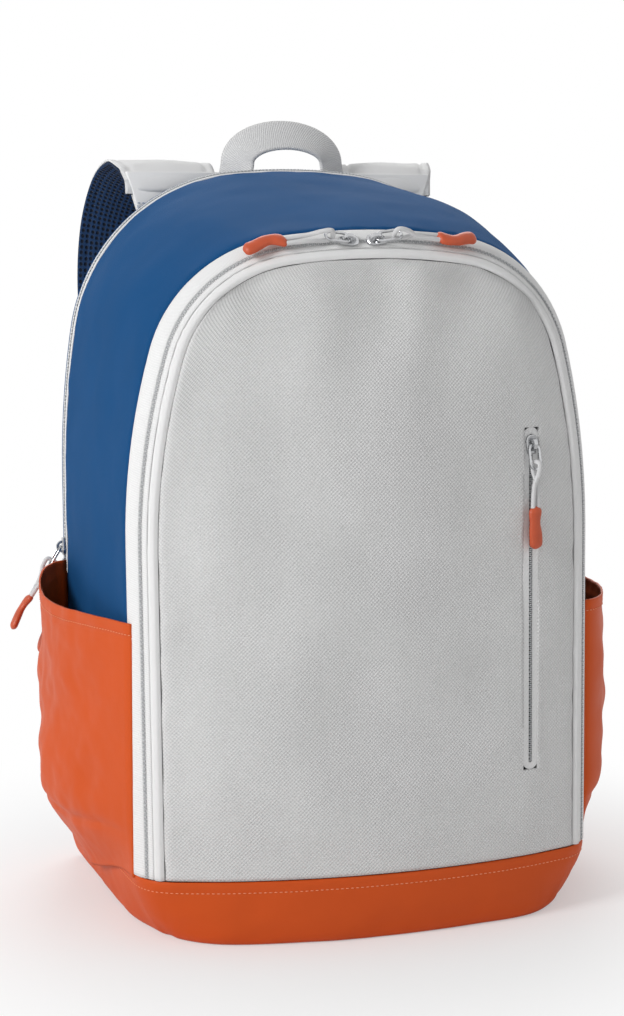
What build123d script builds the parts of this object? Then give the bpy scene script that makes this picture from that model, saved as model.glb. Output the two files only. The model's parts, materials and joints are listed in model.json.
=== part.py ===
"""Racket backpack: millimetres, +Z up, the front facing -Y.

The origin is the middle of the flat base.  The body is one arched form, loft from
a low front arch to a tall back arch, cut in front by an upright cylinder that
gives the front panel its curve in plan.  Every panel, tape and piping is a slice
of the same shell, so neighbours share their seams.
"""
import os
from math import atan2, cos, hypot, pi, radians, sin, sqrt, tan

from build123d import *

# ---------------------------------------------------------------- driving sizes
BODY_DEPTH = 240.0
FRONT_Y = -BODY_DEPTH / 2
BACK_Y = BODY_DEPTH / 2

# Each arch: half width, height, height where the sides start to turn in, and the
# radii of its side, shoulder and crown.
FRONT_ARCH = (149.0, 436.0, 240.0, 482.0, 94.0, 362.0)
BACK_ARCH = (160.5, 480.0, 272.0, 670.0, 126.0, 415.0)
FRONT_ARCH_Y = FRONT_Y + 20.0
BACK_ARCH_Y = BACK_Y - 14.0

PANEL_RADIUS = 430.0        # curve of the front panel seen from above
PANEL_LEAN = 1.8            # degrees the front panel leans back
FRONT_ROUNDING = 30.0       # roll of the front edge, where the zip runs
BACK_ROUNDING = 10.0
WALL = 2.5                  # fabric, foam and lining together
BASE_HEIGHT = 42.0          # the coated base tub
BASE_EDGE = 4.0             # bevel round the foot of the tub
STIFFENER = 3.0
BELOW = 60.0                # how far the form runs on below the floor before it is cut

# Bands round the front, as insets from the side wall at the front roll.
BAND_DEPTH = 19.0           # from the front of the roll back to the gusset seam
BODY_TAPE_INSET = 4.3
COIL_OUTER = 4.7
COIL_INNER = 5.7
FLAP_TAPE_INNER = 8.2
PIPING_INNER = 13.8
FLAP_GAP = 0.3              # between the flap's foot and the base tub

# Main zip, round the back arch.
MAIN_ZIP_TAPE = 3.5
MAIN_ZIP_COIL = 2.0
MAIN_ZIP_FOOT = 150.0
BACK_PANEL = 4.0
DIVIDER_Y = -45.0
DIVIDER = 2.0

# Slip pocket with a vertical zip, on the front panel.
POCKET_ZIP_X = 101.0
POCKET_ZIP_LOW = 98.0
POCKET_ZIP_HIGH = 316.0
POCKET_ZIP_WIDTH = 11.0
POCKET_COIL_WIDTH = 2.4
POUCH_WIDTH = 175.0
POUCH_DROP = 18.0
POUCH_THICKNESS = 3.0

# Side pockets.
POCKET_RIM = 205.0
POCKET_FOOT = 12.0
POCKET_FULL = 60.0          # height where the pocket reaches its full bulge
POCKET_BULGE = 32.0
POCKET_FOOT_BULGE = 3.0
POCKET_FRONT_Y = FRONT_Y + 44.0
POCKET_BACK_Y = BACK_Y - 20.0
POCKET_WALL = 1.8

# Zip sliders and pulls.
SLIDER_LENGTH = 12.0
SLIDER_WIDTH = 9.0
SLIDER_PLATE = 1.6
SLIDER_LIFT = 0.4           # running clearance over the coil
BRIDGE_RADIUS = 4.2
BRIDGE_BORE = 2.6
BRIDGE_WIDTH = 2.6
RING_LENGTH = 17.0
RING_WIDTH = 9.0
RING_WIRE = 1.6
LOOP_CORD = 3.0
LOOP_LENGTH = 26.0          # cord seen between ring and grip
LOOP_SPREAD = 1.75
LOOP_SLACK = 2.1            # cord clear of the ring wire, each side
GRIP_LENGTH = 27.0
GRIP_WIDTH = 9.4
GRIP_THICKNESS = 5.0
PULL_LIFT = 12.0            # degrees the ring stands off the tape at rest
FRONT_PULL_DROOP = 20.0
UPPER_PULL_LIFT = 32.0      # this pull lies over the lower slider
LOWER_PULL_SKEW = -16.0
FRONT_SLIDER_SPACING = 17.0
FRONT_SLIDER_MEET = -10.0   # the two sliders close a little left of the middle
MAIN_SLIDER_UPPER_Z = 222.5
MAIN_SLIDER_LOWER_Z = 208.0

# Grab handle of flat webbing.
HANDLE_WEBBING = 25.0
HANDLE_THICKNESS = 2.4
HANDLE_HALF_SPAN = 30.5
HANDLE_RISE = 34.0
HANDLE_Y = BACK_Y - 4.0
HANDLE_FOOT_Z = 479.7

# Shoulder straps.
STRAP_WIDTH = 66.0
STRAP_TAIL_WIDTH = 46.0
STRAP_THICKNESS = 9.0
STRAP_TOP = (78.0, BACK_Y + 20.0, 484.0)
STRAP_ROUTE = [
    (78.0, BACK_Y + 20.0, 484.0),
    (79.0, BACK_Y + 40.0, 480.5),
    (81.5, BACK_Y + 57.0, 463.0),
    (84.0, BACK_Y + 66.0, 430.0),
    (86.0, BACK_Y + 68.0, 385.0),
    (88.0, BACK_Y + 64.0, 335.0),
    (93.0, BACK_Y + 54.0, 280.0),
    (103.0, BACK_Y + 38.0, 215.0),
    (113.0, BACK_Y + 25.0, 172.0),
]
RISER_ROUTE = [(66.0, BACK_Y + 8.0, 446.0), (71.0, BACK_Y + 8.2, 462.0), (80.0, BACK_Y + 10.4, 492.0)]
RISER_TOP = 478.6
ANCHOR = (129.0, BACK_Y + 6.0, 62.0)
WEBBING_WIDTH = 25.0
WEBBING_THICKNESS = 1.6
LOCK_WIDTH = 36.0
LOCK_HEIGHT = 30.0
LOCK_THICKNESS = 5.0
LOCK_BAR = 4.0

# Back padding.
PAD_THICKNESS = 8.0
PAD_GAP = 24.0              # air channel down the spine
PAD_HALF_WIDTH = 116.0
PAD_LOW = 142.0
PAD_HIGH = 428.0
LUMBAR_LOW = 52.0
LUMBAR_HIGH = 130.0
YOKE_HALF_WIDTH = 106.0
YOKE_LOW = 438.0
YOKE_HIGH = 460.0
YOKE_THICKNESS = 2.5
FIT = 0.3                   # clearance between pieces that lie against each other


# ------------------------------------------------------------------- body form
def arch_at(y):
    """The arch's sizes at a depth, run straight from the front arch to the back."""
    share = (y - FRONT_ARCH_Y) / (BACK_ARCH_Y - FRONT_ARCH_Y)
    return [a + (b - a) * share for a, b in zip(FRONT_ARCH, BACK_ARCH)]


def arch_centres(y):
    """Centres of the right side, shoulder and crown arcs, as (x, z)."""
    half_width, height, spring, side, shoulder, crown = arch_at(y)
    side_centre = (half_width - side, spring)
    crown_centre = (0.0, height - crown)
    span_x = crown_centre[0] - side_centre[0]
    span_z = crown_centre[1] - side_centre[1]
    span = hypot(span_x, span_z)
    along = ((side - shoulder) ** 2 - (crown - shoulder) ** 2 + span ** 2) / (2 * span)
    across = sqrt((side - shoulder) ** 2 - along ** 2)
    shoulder_centre = (
        side_centre[0] + (along * span_x - across * span_z) / span,
        side_centre[1] + (along * span_z + across * span_x) / span,
    )
    return side_centre, shoulder_centre, crown_centre


def arch_wire(y, inset, low):
    """Closed arch outline in the plane at depth y, drawn in by inset."""
    half_width, _, spring, side, shoulder, crown = arch_at(y)
    side_c, shoulder_c, crown_c = arch_centres(y)
    turn = atan2(shoulder_c[1] - side_c[1], shoulder_c[0] - side_c[0])
    top = atan2(shoulder_c[1] - crown_c[1], shoulder_c[0] - crown_c[0])

    def point(centre, radius, angle, hand):
        reach = radius - inset
        return (hand * (centre[0] + reach * cos(angle)), y, centre[1] + reach * sin(angle))

    def arc(centre, radius, start, end, hand):
        angles = (start, (start + end) / 2, end)
        return Edge.make_three_point_arc(*[point(centre, radius, a, hand) for a in angles])

    wall = half_width - inset
    return Wire([
        Edge.make_line((wall, y, low), (wall, y, spring)),
        arc(side_c, side, 0, turn, 1),
        arc(shoulder_c, shoulder, turn, top, 1),
        Edge.make_three_point_arc(
            point(crown_c, crown, top, 1), point(crown_c, crown, pi / 2, 1),
            point(crown_c, crown, top, -1)),
        arc(shoulder_c, shoulder, top, turn, -1),
        arc(side_c, side, turn, 0, -1),
        Edge.make_line((-wall, y, spring), (-wall, y, low)),
        Edge.make_line((-wall, y, low), (wall, y, low)),
    ])


def arch_tube(inset, y0=FRONT_Y - 20, y1=BACK_Y + 20, low=-BELOW):
    """Solid under the arch between two depths, drawn in by inset."""
    return Solid.make_loft([arch_wire(y0, inset, low), arch_wire(y1, inset, low)], ruled=True)


def front_cylinder(back):
    """All that lies behind the front surface once that is moved back."""
    lean = radians(PANEL_LEAN)
    axis = Plane(origin=(0, FRONT_Y + PANEL_RADIUS, 0), z_dir=(0, sin(lean), cos(lean)))
    return Solid.make_cylinder(PANEL_RADIUS - back, 900, axis.offset(-200))


def body_form(inset):
    """The closed body, drawn in by inset all round, standing on the floor."""
    form = arch_tube(inset, y1=BACK_Y - inset) & front_cylinder(inset)
    front = form.faces().filter_by(GeomType.CYLINDER)[0]
    rim = [e for e in front.edges() if e.center().Z > -BELOW + 1]
    form = fillet(rim, FRONT_ROUNDING - inset)
    back = form.faces().sort_by(Axis.Y)[-1]
    rim = [e for e in back.edges() if e.center().Z > -BELOW + 1]
    form = fillet(rim, BACK_ROUNDING - inset)
    form = form & slab(z=(inset, 600))
    foot = form.faces().sort_by(Axis.Z)[0]
    return chamfer(foot.edges(), BASE_EDGE)


def slab(x=(-400, 400), y=(-400, 400), z=(-400, 700)):
    """A box from its limits along each axis."""
    size = (x[1] - x[0], y[1] - y[0], z[1] - z[0])
    centre = ((x[0] + x[1]) / 2, (y[0] + y[1]) / 2, (z[0] + z[1]) / 2)
    return Pos(*centre) * Box(*size)


def front_y(x, z):
    """Depth of the front panel's outer face, inside the rolled edge."""
    sweep = PANEL_RADIUS - sqrt(PANEL_RADIUS ** 2 - x ** 2)
    return FRONT_Y + sweep + tan(radians(PANEL_LEAN)) * z


def ribbon(route, widths, thickness, across=(1, 0, 0)):
    """Flat band through route; across is one direction, or one for each point."""
    points = [Vector(*p) for p in route]
    directions = [across] * len(points) if isinstance(across[0], (int, float)) else across
    sections = []
    for i, point in enumerate(points):
        ahead = points[min(i + 1, len(points) - 1)] - points[max(i - 1, 0)]
        tangent = ahead.normalized()
        side = Vector(*directions[i])
        side = (side - tangent * side.dot(tangent)).normalized() * (widths[i] / 2)
        out = tangent.cross(side).normalized() * (thickness / 2)
        corners = [point - side - out, point + side - out, point + side + out, point - side + out]
        sections.append(Wire.make_polygon(corners, close=True))
    return Solid.make_loft(sections, ruled=True)


def mirrored(shape):
    """The same piece on the other side of the bag."""
    return mirror(shape, about=Plane.YZ)


# ------------------------------------------------------------------- zip parts
def zip_slider():
    """Slider with its nose along +x, its foot over the coil at z = 0."""
    half = SLIDER_LENGTH / 2
    wide = SLIDER_WIDTH / 2
    outline = Polyline(
        (-half, -wide * 0.62), (half * 0.35, -wide), (half * 0.8, -wide * 0.8),
        (half, -wide * 0.3), (half, wide * 0.3), (half * 0.8, wide * 0.8),
        (half * 0.35, wide), (-half, wide * 0.62), close=True)
    plate = extrude(make_face(outline), SLIDER_PLATE)
    plate = chamfer(plate.edges().group_by(Axis.Z)[-1], 0.4)
    ring = Rot(90, 0, 0) * (
        Cylinder(BRIDGE_RADIUS, BRIDGE_WIDTH) - Cylinder(BRIDGE_BORE, BRIDGE_WIDTH * 2))
    bridge = Pos(0, 0, SLIDER_PLATE - 0.2) * (ring & slab(z=(0, 10)))
    return Pos(0, 0, SLIDER_LIFT) * (plate + bridge)


BAR_HEIGHT = SLIDER_LIFT + SLIDER_PLATE + 1.1     # middle of the bore, where the ring hangs


def pull_ring():
    """Wire ring of the pull, hung at the origin and lying along +x."""
    outer = RING_WIDTH / 2
    track = RING_LENGTH - RING_WIDTH
    body = Pos(outer - RING_WIRE / 2 + track / 2, 0, 0) * SlotOverall(RING_LENGTH, RING_WIDTH)
    hole = Pos(outer - RING_WIRE / 2 + track / 2, 0, 0) * SlotOverall(
        RING_LENGTH - 2 * RING_WIRE, RING_WIDTH - 2 * RING_WIRE)
    ring = extrude(body - hole, RING_WIRE / 2, both=True)
    return chamfer(ring.edges().group_by(Axis.Z)[-1] + ring.edges().group_by(Axis.Z)[0], 0.3)


RING_END = RING_LENGTH - RING_WIRE                # middle of the wire at the ring's far end


def pull_loop():
    """Cord looped through the ring, its two strands closing side by side."""
    bight = RING_END - 3.3
    lift = LOOP_CORD / 2 + RING_WIRE / 2 + LOOP_SLACK
    end = RING_END + LOOP_LENGTH + 2
    points = [
        (end, LOOP_SPREAD, 0), (RING_END + 9, LOOP_SPREAD, 0),
        (bight, 0, lift), (bight, 0, -lift),
        (RING_END + 9, -LOOP_SPREAD, 0), (end, -LOOP_SPREAD, 0),
    ]
    line = FilletPolyline(*points, radius=[9.0, lift * 0.68, lift * 0.68, 9.0])
    start = Plane(origin=line @ 0, z_dir=line % 0)
    return sweep(start * Circle(LOOP_CORD / 2), path=line)


def pull_grip():
    """Moulded rubber grip that closes over the ends of the cord."""
    start = RING_END + LOOP_LENGTH
    shape = Pos(start + GRIP_LENGTH / 2, 0, 0) * Box(GRIP_LENGTH, GRIP_WIDTH, GRIP_THICKNESS)
    shape = fillet(shape.edges().filter_by(Axis.Z), GRIP_WIDTH * 0.42)
    shape = fillet(shape.edges().group_by(Axis.Z)[-1] + shape.edges().group_by(Axis.Z)[0], 1.6)
    waist = Pos(start + GRIP_LENGTH * 0.35, 0, 0)
    for hand in (1, -1):
        cut = waist * Pos(0, hand * (GRIP_WIDTH / 2 + 14.2), 0) * Cylinder(15, GRIP_THICKNESS * 2)
        shape = shape - cut
    for strand in (1, -1):
        bore = Pos(start + 1, strand * LOOP_SPREAD, 0) * Rot(0, 90, 0)
        shape = shape - bore * Cylinder(LOOP_CORD / 2 + 0.05, 4.2)
    return shape


def placed(shape, origin, along, outward):
    """Moves a piece from its own frame to the bag: +x along the zip, +z outward."""
    out = Vector(*outward).normalized()
    run = Vector(*along)
    run = (run - out * run.dot(out)).normalized()
    return Plane(origin=origin, x_dir=run, z_dir=out).location * shape


def zip_set(name, origin, along, outward, pull_along, lift_angle, droop=0.0, skew=0.0):
    """A slider and its pull, which leaves along pull_along, lift_angle degrees off the tape.

    Past the ring the cord droops back to the tape, and may swing sideways by skew.
    """
    out = Vector(*outward).normalized()
    run = Vector(*pull_along)
    run = (run - out * run.dot(out)).normalized()
    tip = run * cos(radians(lift_angle)) + out * sin(radians(lift_angle))
    lift = out * cos(radians(lift_angle)) - run * sin(radians(lift_angle))
    bar = Vector(*origin) + out * BAR_HEIGHT
    frame = Plane(origin=bar, x_dir=tip, z_dir=lift).location
    bend = Pos(RING_END, 0, 0) * Rot(0, droop, skew) * Pos(-RING_END, 0, 0)
    pieces = {
        f"{name}_slider": placed(zip_slider(), origin, along, outward),
        f"{name}_pull_ring": frame * pull_ring(),
        f"{name}_pull_loop": frame * bend * pull_loop(),
        f"{name}_pull_grip": frame * bend * pull_grip(),
    }
    print(f"{name}: hinge at {tuple(bar)} about {tuple(tip.cross(lift))} tip {tuple(tip)}")
    return pieces


# ------------------------------------------------------------------------ body
def make_body():
    """Panels, tapes and piping, all cut from one shell."""
    outer = body_form(0)
    shell = outer - body_form(WALL)
    above = slab(z=(BASE_HEIGHT, 600))
    zip_front = BACK_ARCH_Y - MAIN_ZIP_COIL / 2 - MAIN_ZIP_TAPE
    zip_back = BACK_ARCH_Y + MAIN_ZIP_COIL / 2 + MAIN_ZIP_TAPE
    panel_y = BACK_Y - BACK_PANEL
    walls = shell & above & slab(y=(-400, panel_y))
    band = walls - front_cylinder(BAND_DEPTH)
    sides = walls & front_cylinder(BAND_DEPTH)
    flap = band & slab(z=(BASE_HEIGHT + FLAP_GAP, 600))

    gusset = sides & slab(y=(-400, zip_front))
    gusset = gusset + (sides & slab(y=(zip_front, zip_back), z=(0, MAIN_ZIP_FOOT)))
    zip_run = sides & slab(z=(MAIN_ZIP_FOOT, 600))
    coil_y = (BACK_ARCH_Y - MAIN_ZIP_COIL / 2, BACK_ARCH_Y + MAIN_ZIP_COIL / 2)
    panel = flap & arch_tube(PIPING_INNER)
    slot_front = (-400, FRONT_Y + 80)
    return {
        "base_panel": shell & slab(z=(-1, BASE_HEIGHT)),
        "base_stiffener": body_form(WALL + FIT) & slab(z=(WALL + FIT, WALL + FIT + STIFFENER)),
        "gusset": gusset,
        "main_zip_tape_front": zip_run & slab(y=(zip_front, coil_y[0])),
        "main_zip_coil": zip_run & slab(y=coil_y),
        "main_zip_tape_back": zip_run & slab(y=(coil_y[1], zip_back)),
        "rear_gusset": sides & slab(y=(zip_back, panel_y)),
        "back_panel": outer & above & slab(y=(panel_y, BACK_Y + 1)),
        "compartment_divider": arch_tube(WALL + 2 * FIT) & slab(
            y=(DIVIDER_Y, DIVIDER_Y + DIVIDER), z=(WALL + STIFFENER + 2 * FIT, 600)),
        "front_zip_tape_body": band - arch_tube(BODY_TAPE_INSET),
        "front_zip_coil": flap & (arch_tube(COIL_OUTER) - arch_tube(COIL_INNER)),
        "front_zip_tape_flap": flap & (arch_tube(COIL_INNER) - arch_tube(FLAP_TAPE_INNER)),
        "front_piping": flap & (arch_tube(FLAP_TAPE_INNER) - arch_tube(PIPING_INNER)),
        **make_front_panel(panel & slab(y=slot_front)),
    }


def upright_slot(width, low, high):
    """Round-ended upright slot through the front panel, along y."""
    face = Plane.XZ * Pos(POCKET_ZIP_X, (low + high) / 2) * Rot(0, 0, 90) * SlotOverall(high - low, width)
    return extrude(face, 200, both=True)


def make_front_panel(panel):
    """Front panel with its zipped slip pocket and the pouch behind it."""
    margin = (POCKET_ZIP_WIDTH - POCKET_COIL_WIDTH) / 2
    opening = upright_slot(POCKET_ZIP_WIDTH, POCKET_ZIP_LOW, POCKET_ZIP_HIGH)
    coil = upright_slot(POCKET_COIL_WIDTH, POCKET_ZIP_LOW + margin, POCKET_ZIP_HIGH - margin)
    skin = front_cylinder(WALL + FIT) - front_cylinder(WALL + FIT + POUCH_THICKNESS)
    reach = POCKET_ZIP_X + POCKET_ZIP_WIDTH
    pouch = skin & slab(
        x=(reach - POUCH_WIDTH, reach), y=(-400, 0),
        z=(POCKET_ZIP_LOW - POUCH_DROP, POCKET_ZIP_HIGH + POUCH_DROP / 2))
    return {
        "front_panel": panel - opening,
        "pocket_zip_tape": (panel & opening) - coil,
        "pocket_zip_coil": panel & coil,
        "pocket_pouch": pouch,
    }


# ---------------------------------------------------------------- side pockets
def pocket_section(z, bulge, inset):
    """Plan outline of the left pocket: swells to the back, then turns in sharply."""
    start = POCKET_FRONT_Y + inset
    end = POCKET_BACK_Y - inset
    shape = ((0.0, 0.0), (0.22, 0.42), (0.5, 0.8), (0.78, 1.0), (0.93, 0.72), (1.0, 0.0))
    points = []
    for share, swell in shape:
        y = start + (end - start) * share
        points.append((-arch_at(y)[0] - swell * (bulge - inset), y, z))
    inner = [(-arch_at(0)[0] + 20, end, z), (-arch_at(0)[0] + 20, start, z)]
    return Wire([
        Edge.make_spline([Vector(*p) for p in points]),
        Edge.make_line(points[-1], inner[0]),
        Edge.make_line(inner[0], inner[1]),
        Edge.make_line(inner[1], points[0]),
    ])


def make_pocket(outer):
    """Open-topped side pocket, sewn to the side from the base to the rim."""
    def form(inset, top):
        heights = (POCKET_FOOT + inset, POCKET_FULL, top)
        bulges = (POCKET_FOOT_BULGE, POCKET_BULGE, POCKET_BULGE)
        sections = [pocket_section(z, b, inset) for z, b in zip(heights, bulges)]
        return Solid.make_loft(sections, ruled=True)

    return form(0, POCKET_RIM) - form(POCKET_WALL, POCKET_RIM + 5) - outer


# --------------------------------------------------------------- handle, straps
def make_handle():
    """Webbing loop: its ends stand flat in the seam and it tips over at the top."""
    half = HANDLE_HALF_SPAN
    top = HANDLE_FOOT_Z + HANDLE_RISE
    low_z, mid_z = HANDLE_FOOT_Z, HANDLE_FOOT_Z + 13
    sections = [
        (-half, 0.0, low_z, (1, 0, 0)),
        (-half, 0.0, mid_z, (1, 0.1, -0.12)),
        (-half + 5, 1.0, top - 11, (0.75, 0.35, -0.55)),
        (-half + 15, 1.5, top - 5, (0.3, 0.5, -0.8)),
        (0.0, 1.5, top - 2.5, (0, 0.55, -0.83)),
    ]
    right = [(-x, dy, z, (-d[0], d[1], d[2])) for x, dy, z, d in reversed(sections[:-1])]
    sections = sections + right
    route = [(x, HANDLE_Y + dy, z) for x, dy, z, _ in sections]
    loop = ribbon(route, [HANDLE_WEBBING] * len(route), HANDLE_THICKNESS, [d for *_, d in sections])
    feet = loop.edges().filter_by(Axis.X).group_by(Axis.Z)[0]
    return chamfer(feet, HANDLE_THICKNESS * 0.32)


def make_strap():
    """Right shoulder strap: a padded band that turns on its round top end."""
    count = len(STRAP_ROUTE)
    widths = [STRAP_WIDTH + (STRAP_TAIL_WIDTH - STRAP_WIDTH) * max(0, i - 4) / (count - 5)
              for i in range(count)]
    pad = ribbon(STRAP_ROUTE, widths, STRAP_THICKNESS)
    return pad + Pos(*STRAP_TOP) * Cylinder(STRAP_WIDTH / 2 - 0.5, STRAP_THICKNESS - 0.6)


def strap_tail_frame():
    """Frame at the strap's lower end: x across it, y on down the strap."""
    end = Vector(*STRAP_ROUTE[-1])
    run = (end - Vector(*STRAP_ROUTE[-2])).normalized()
    across = Vector(1, 0, 0)
    across = (across - run * run.dot(across)).normalized()
    return Plane(origin=end, x_dir=across, z_dir=across.cross(run))


def make_ladder_lock(tail):
    """Moulded adjuster: a frame with two bars for the webbing."""
    centre = LOCK_HEIGHT / 2 + FIT
    body = Box(LOCK_WIDTH, LOCK_HEIGHT, LOCK_THICKNESS)
    body = fillet(body.edges().filter_by(Axis.Z), 4)
    slot = (LOCK_HEIGHT - 4 * LOCK_BAR) / 3
    for i in (-1, 0, 1):
        body = body - Pos(0, i * (slot + LOCK_BAR), 0) * Box(
            WEBBING_WIDTH + 3, slot, LOCK_THICKNESS * 2)
    body = chamfer(body.edges().group_by(Axis.Z)[-1] + body.edges().group_by(Axis.Z)[0], 0.6)
    return tail.location * Pos(0, centre, 0) * body


def make_adjuster_webbing(tail):
    """Webbing from the ladder lock's last slot down to the anchor tab."""
    behind = LOCK_THICKNESS / 2 + FIT + WEBBING_THICKNESS / 2
    top = tail.from_local_coords(Vector(0, LOCK_HEIGHT - LOCK_BAR - 2, -behind))
    foot = Vector(*ANCHOR) - Vector(0, 0, 6)
    leave = tail.from_local_coords(Vector(0, LOCK_HEIGHT + 6, -behind))
    webbing = ribbon([tuple(top), tuple(leave), tuple(foot)], [WEBBING_WIDTH] * 3,
                     WEBBING_THICKNESS, tuple(tail.x_dir))
    return webbing & slab(z=(ANCHOR[2], 600))


def make_anchor():
    """Folded triangular tab, sewn into the lower back corner."""
    x, y, z = ANCHOR
    foot = BASE_HEIGHT - 14
    outline = Polyline(
        (x - WEBBING_WIDTH / 2, z - 2 * FIT), (x + WEBBING_WIDTH / 2, z - 2 * FIT),
        (x + WEBBING_WIDTH / 2 + 4, foot), (x - WEBBING_WIDTH / 2 - 12, foot), close=True)
    tab = extrude(Plane.XZ * make_face(outline), -(y + 1.5 - BACK_Y))
    return Pos(0, BACK_Y, 0) * tab


def make_back():
    """Yoke, strap risers, anchors and padding on the back panel."""
    face = BACK_Y + FIT
    pad = slab(x=(PAD_GAP / 2, PAD_HALF_WIDTH), y=(face, face + PAD_THICKNESS), z=(PAD_LOW, PAD_HIGH))
    pad = fillet(pad.edges().filter_by(Axis.Y), 22)
    pad = chamfer(pad.edges().group_by(Axis.Y)[-1], 3)
    lumbar = slab(x=(-PAD_HALF_WIDTH + 14, PAD_HALF_WIDTH - 14), y=(face, face + PAD_THICKNESS),
                  z=(LUMBAR_LOW, LUMBAR_HIGH))
    lumbar = fillet(lumbar.edges().filter_by(Axis.Y), 20)
    lumbar = chamfer(lumbar.edges().group_by(Axis.Y)[-1], 3)
    yoke = slab(x=(-YOKE_HALF_WIDTH, YOKE_HALF_WIDTH), y=(BACK_Y, BACK_Y + YOKE_THICKNESS),
                z=(YOKE_LOW, YOKE_HIGH)) & arch_tube(6)
    riser = ribbon(RISER_ROUTE, [STRAP_WIDTH] * 3, STRAP_THICKNESS) & slab(z=(0, RISER_TOP))
    anchor = make_anchor()
    return {
        "back_pad_right": pad,
        "back_pad_left": mirrored(pad),
        "lumbar_pad": lumbar,
        "strap_yoke": yoke,
        "strap_riser_right": riser,
        "strap_riser_left": mirrored(riser),
        "strap_anchor_right": anchor,
        "strap_anchor_left": mirrored(anchor),
    }


def make_straps():
    """Both shoulder straps with their adjusters."""
    strap = make_strap()
    tail = strap_tail_frame()
    lock = make_ladder_lock(tail)
    webbing = make_adjuster_webbing(tail)
    return {
        "shoulder_strap_right": strap,
        "shoulder_strap_left": mirrored(strap),
        "ladder_lock_right": lock,
        "ladder_lock_left": mirrored(lock),
        "adjuster_webbing_right": webbing,
        "adjuster_webbing_left": mirrored(webbing),
    }


# ---------------------------------------------------------------- zip placing
def crown_coil_point(outer, x):
    """Point on the front zip's coil over the crown, with its outward direction."""
    inset = (COIL_OUTER + COIL_INNER) / 2
    y = FRONT_Y + FRONT_ROUNDING / 2
    for _ in range(8):
        crown = arch_at(y)[5]
        z = arch_at(y)[1] - crown + sqrt((crown - inset) ** 2 - x ** 2)
        hits = outer.find_intersection_points(Axis((x, 0, z), (0, -1, 0)))
        point, outward = min(hits, key=lambda hit: hit[0].Y)
        y = point.Y
    return point, outward


def make_zips(outer):
    """All five sliders with their pulls."""
    pieces = {}
    for side, hand in (("left", -1), ("right", 1)):
        x = FRONT_SLIDER_MEET + hand * FRONT_SLIDER_SPACING / 2
        origin, outward = crown_coil_point(outer, x)
        step, _ = crown_coil_point(outer, x + hand * 4)
        along = step - origin
        pieces.update(zip_set(f"front_{side}", origin, along * -1, outward, along,
                              PULL_LIFT, droop=FRONT_PULL_DROOP))

    z = POCKET_ZIP_HIGH - SLIDER_LENGTH * 0.9
    x = POCKET_ZIP_X
    down = (0, -sin(radians(PANEL_LEAN)), -cos(radians(PANEL_LEAN)))
    outward = (x / PANEL_RADIUS, -sqrt(1 - (x / PANEL_RADIUS) ** 2), 0)
    pieces.update(zip_set("pocket", (x, front_y(x, z), z), (0, 0, 1), outward, down,
                          PULL_LIFT, droop=PULL_LIFT))

    half_width = arch_at(BACK_ARCH_Y)[0]
    places = (("main_upper", MAIN_SLIDER_UPPER_Z, UPPER_PULL_LIFT, 0.0, 1),
              ("main_lower", MAIN_SLIDER_LOWER_Z, PULL_LIFT, LOWER_PULL_SKEW, -1))
    for name, z, lift_angle, skew, nose in places:
        origin = (-half_width, BACK_ARCH_Y, z)
        pieces.update(zip_set(name, origin, (0, 0, -nose), (-1, 0, 0), (0, 0, -1),
                              lift_angle, skew=skew))
    return pieces


def main():
    """Builds every piece and writes one STEP file for each."""
    os.makedirs("parts", exist_ok=True)
    pieces = make_body()
    outer = body_form(0)
    pocket = make_pocket(outer)
    pieces["side_pocket_left"] = pocket
    pieces["side_pocket_right"] = mirrored(pocket)
    pieces["grab_handle"] = make_handle()
    pieces.update(make_back())
    pieces.update(make_straps())
    pieces.update(make_zips(outer))
    for name, shape in pieces.items():
        export_step(shape, f"parts/{name}.step")
    print(len(pieces), "nodes")


main()
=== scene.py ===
import json
from math import atan2, cos, degrees, exp, pi, radians, sin, sqrt, tau

import bmesh
import bpy
from mathutils import Matrix, Vector, noise
from mathutils.bvhtree import BVHTree


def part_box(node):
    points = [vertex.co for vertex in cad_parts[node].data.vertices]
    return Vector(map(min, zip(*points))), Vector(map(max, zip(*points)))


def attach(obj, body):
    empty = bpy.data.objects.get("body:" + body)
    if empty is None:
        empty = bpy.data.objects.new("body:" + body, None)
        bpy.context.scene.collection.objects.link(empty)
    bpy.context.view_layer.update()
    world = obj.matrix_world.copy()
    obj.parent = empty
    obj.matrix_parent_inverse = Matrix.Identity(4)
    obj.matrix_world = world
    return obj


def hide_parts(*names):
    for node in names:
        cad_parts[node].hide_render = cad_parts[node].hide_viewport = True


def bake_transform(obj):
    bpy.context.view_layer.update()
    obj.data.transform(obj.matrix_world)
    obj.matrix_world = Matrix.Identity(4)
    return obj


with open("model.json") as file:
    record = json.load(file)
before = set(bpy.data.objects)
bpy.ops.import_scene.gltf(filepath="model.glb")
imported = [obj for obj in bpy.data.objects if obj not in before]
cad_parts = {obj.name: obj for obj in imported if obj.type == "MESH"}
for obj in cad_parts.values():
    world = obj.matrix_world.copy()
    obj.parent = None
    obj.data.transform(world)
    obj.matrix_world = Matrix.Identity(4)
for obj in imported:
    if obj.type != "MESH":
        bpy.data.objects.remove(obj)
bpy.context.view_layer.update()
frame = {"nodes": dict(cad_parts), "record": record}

MM = 0.001
UP = Vector((0, 0, 1))
BACKWARD = Vector((0, 1, 0))


def smoothstep(low, high, value):
    share = min(1.0, max(0.0, (value - low) / (high - low)))
    return share * share * (3 - 2 * share)


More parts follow.
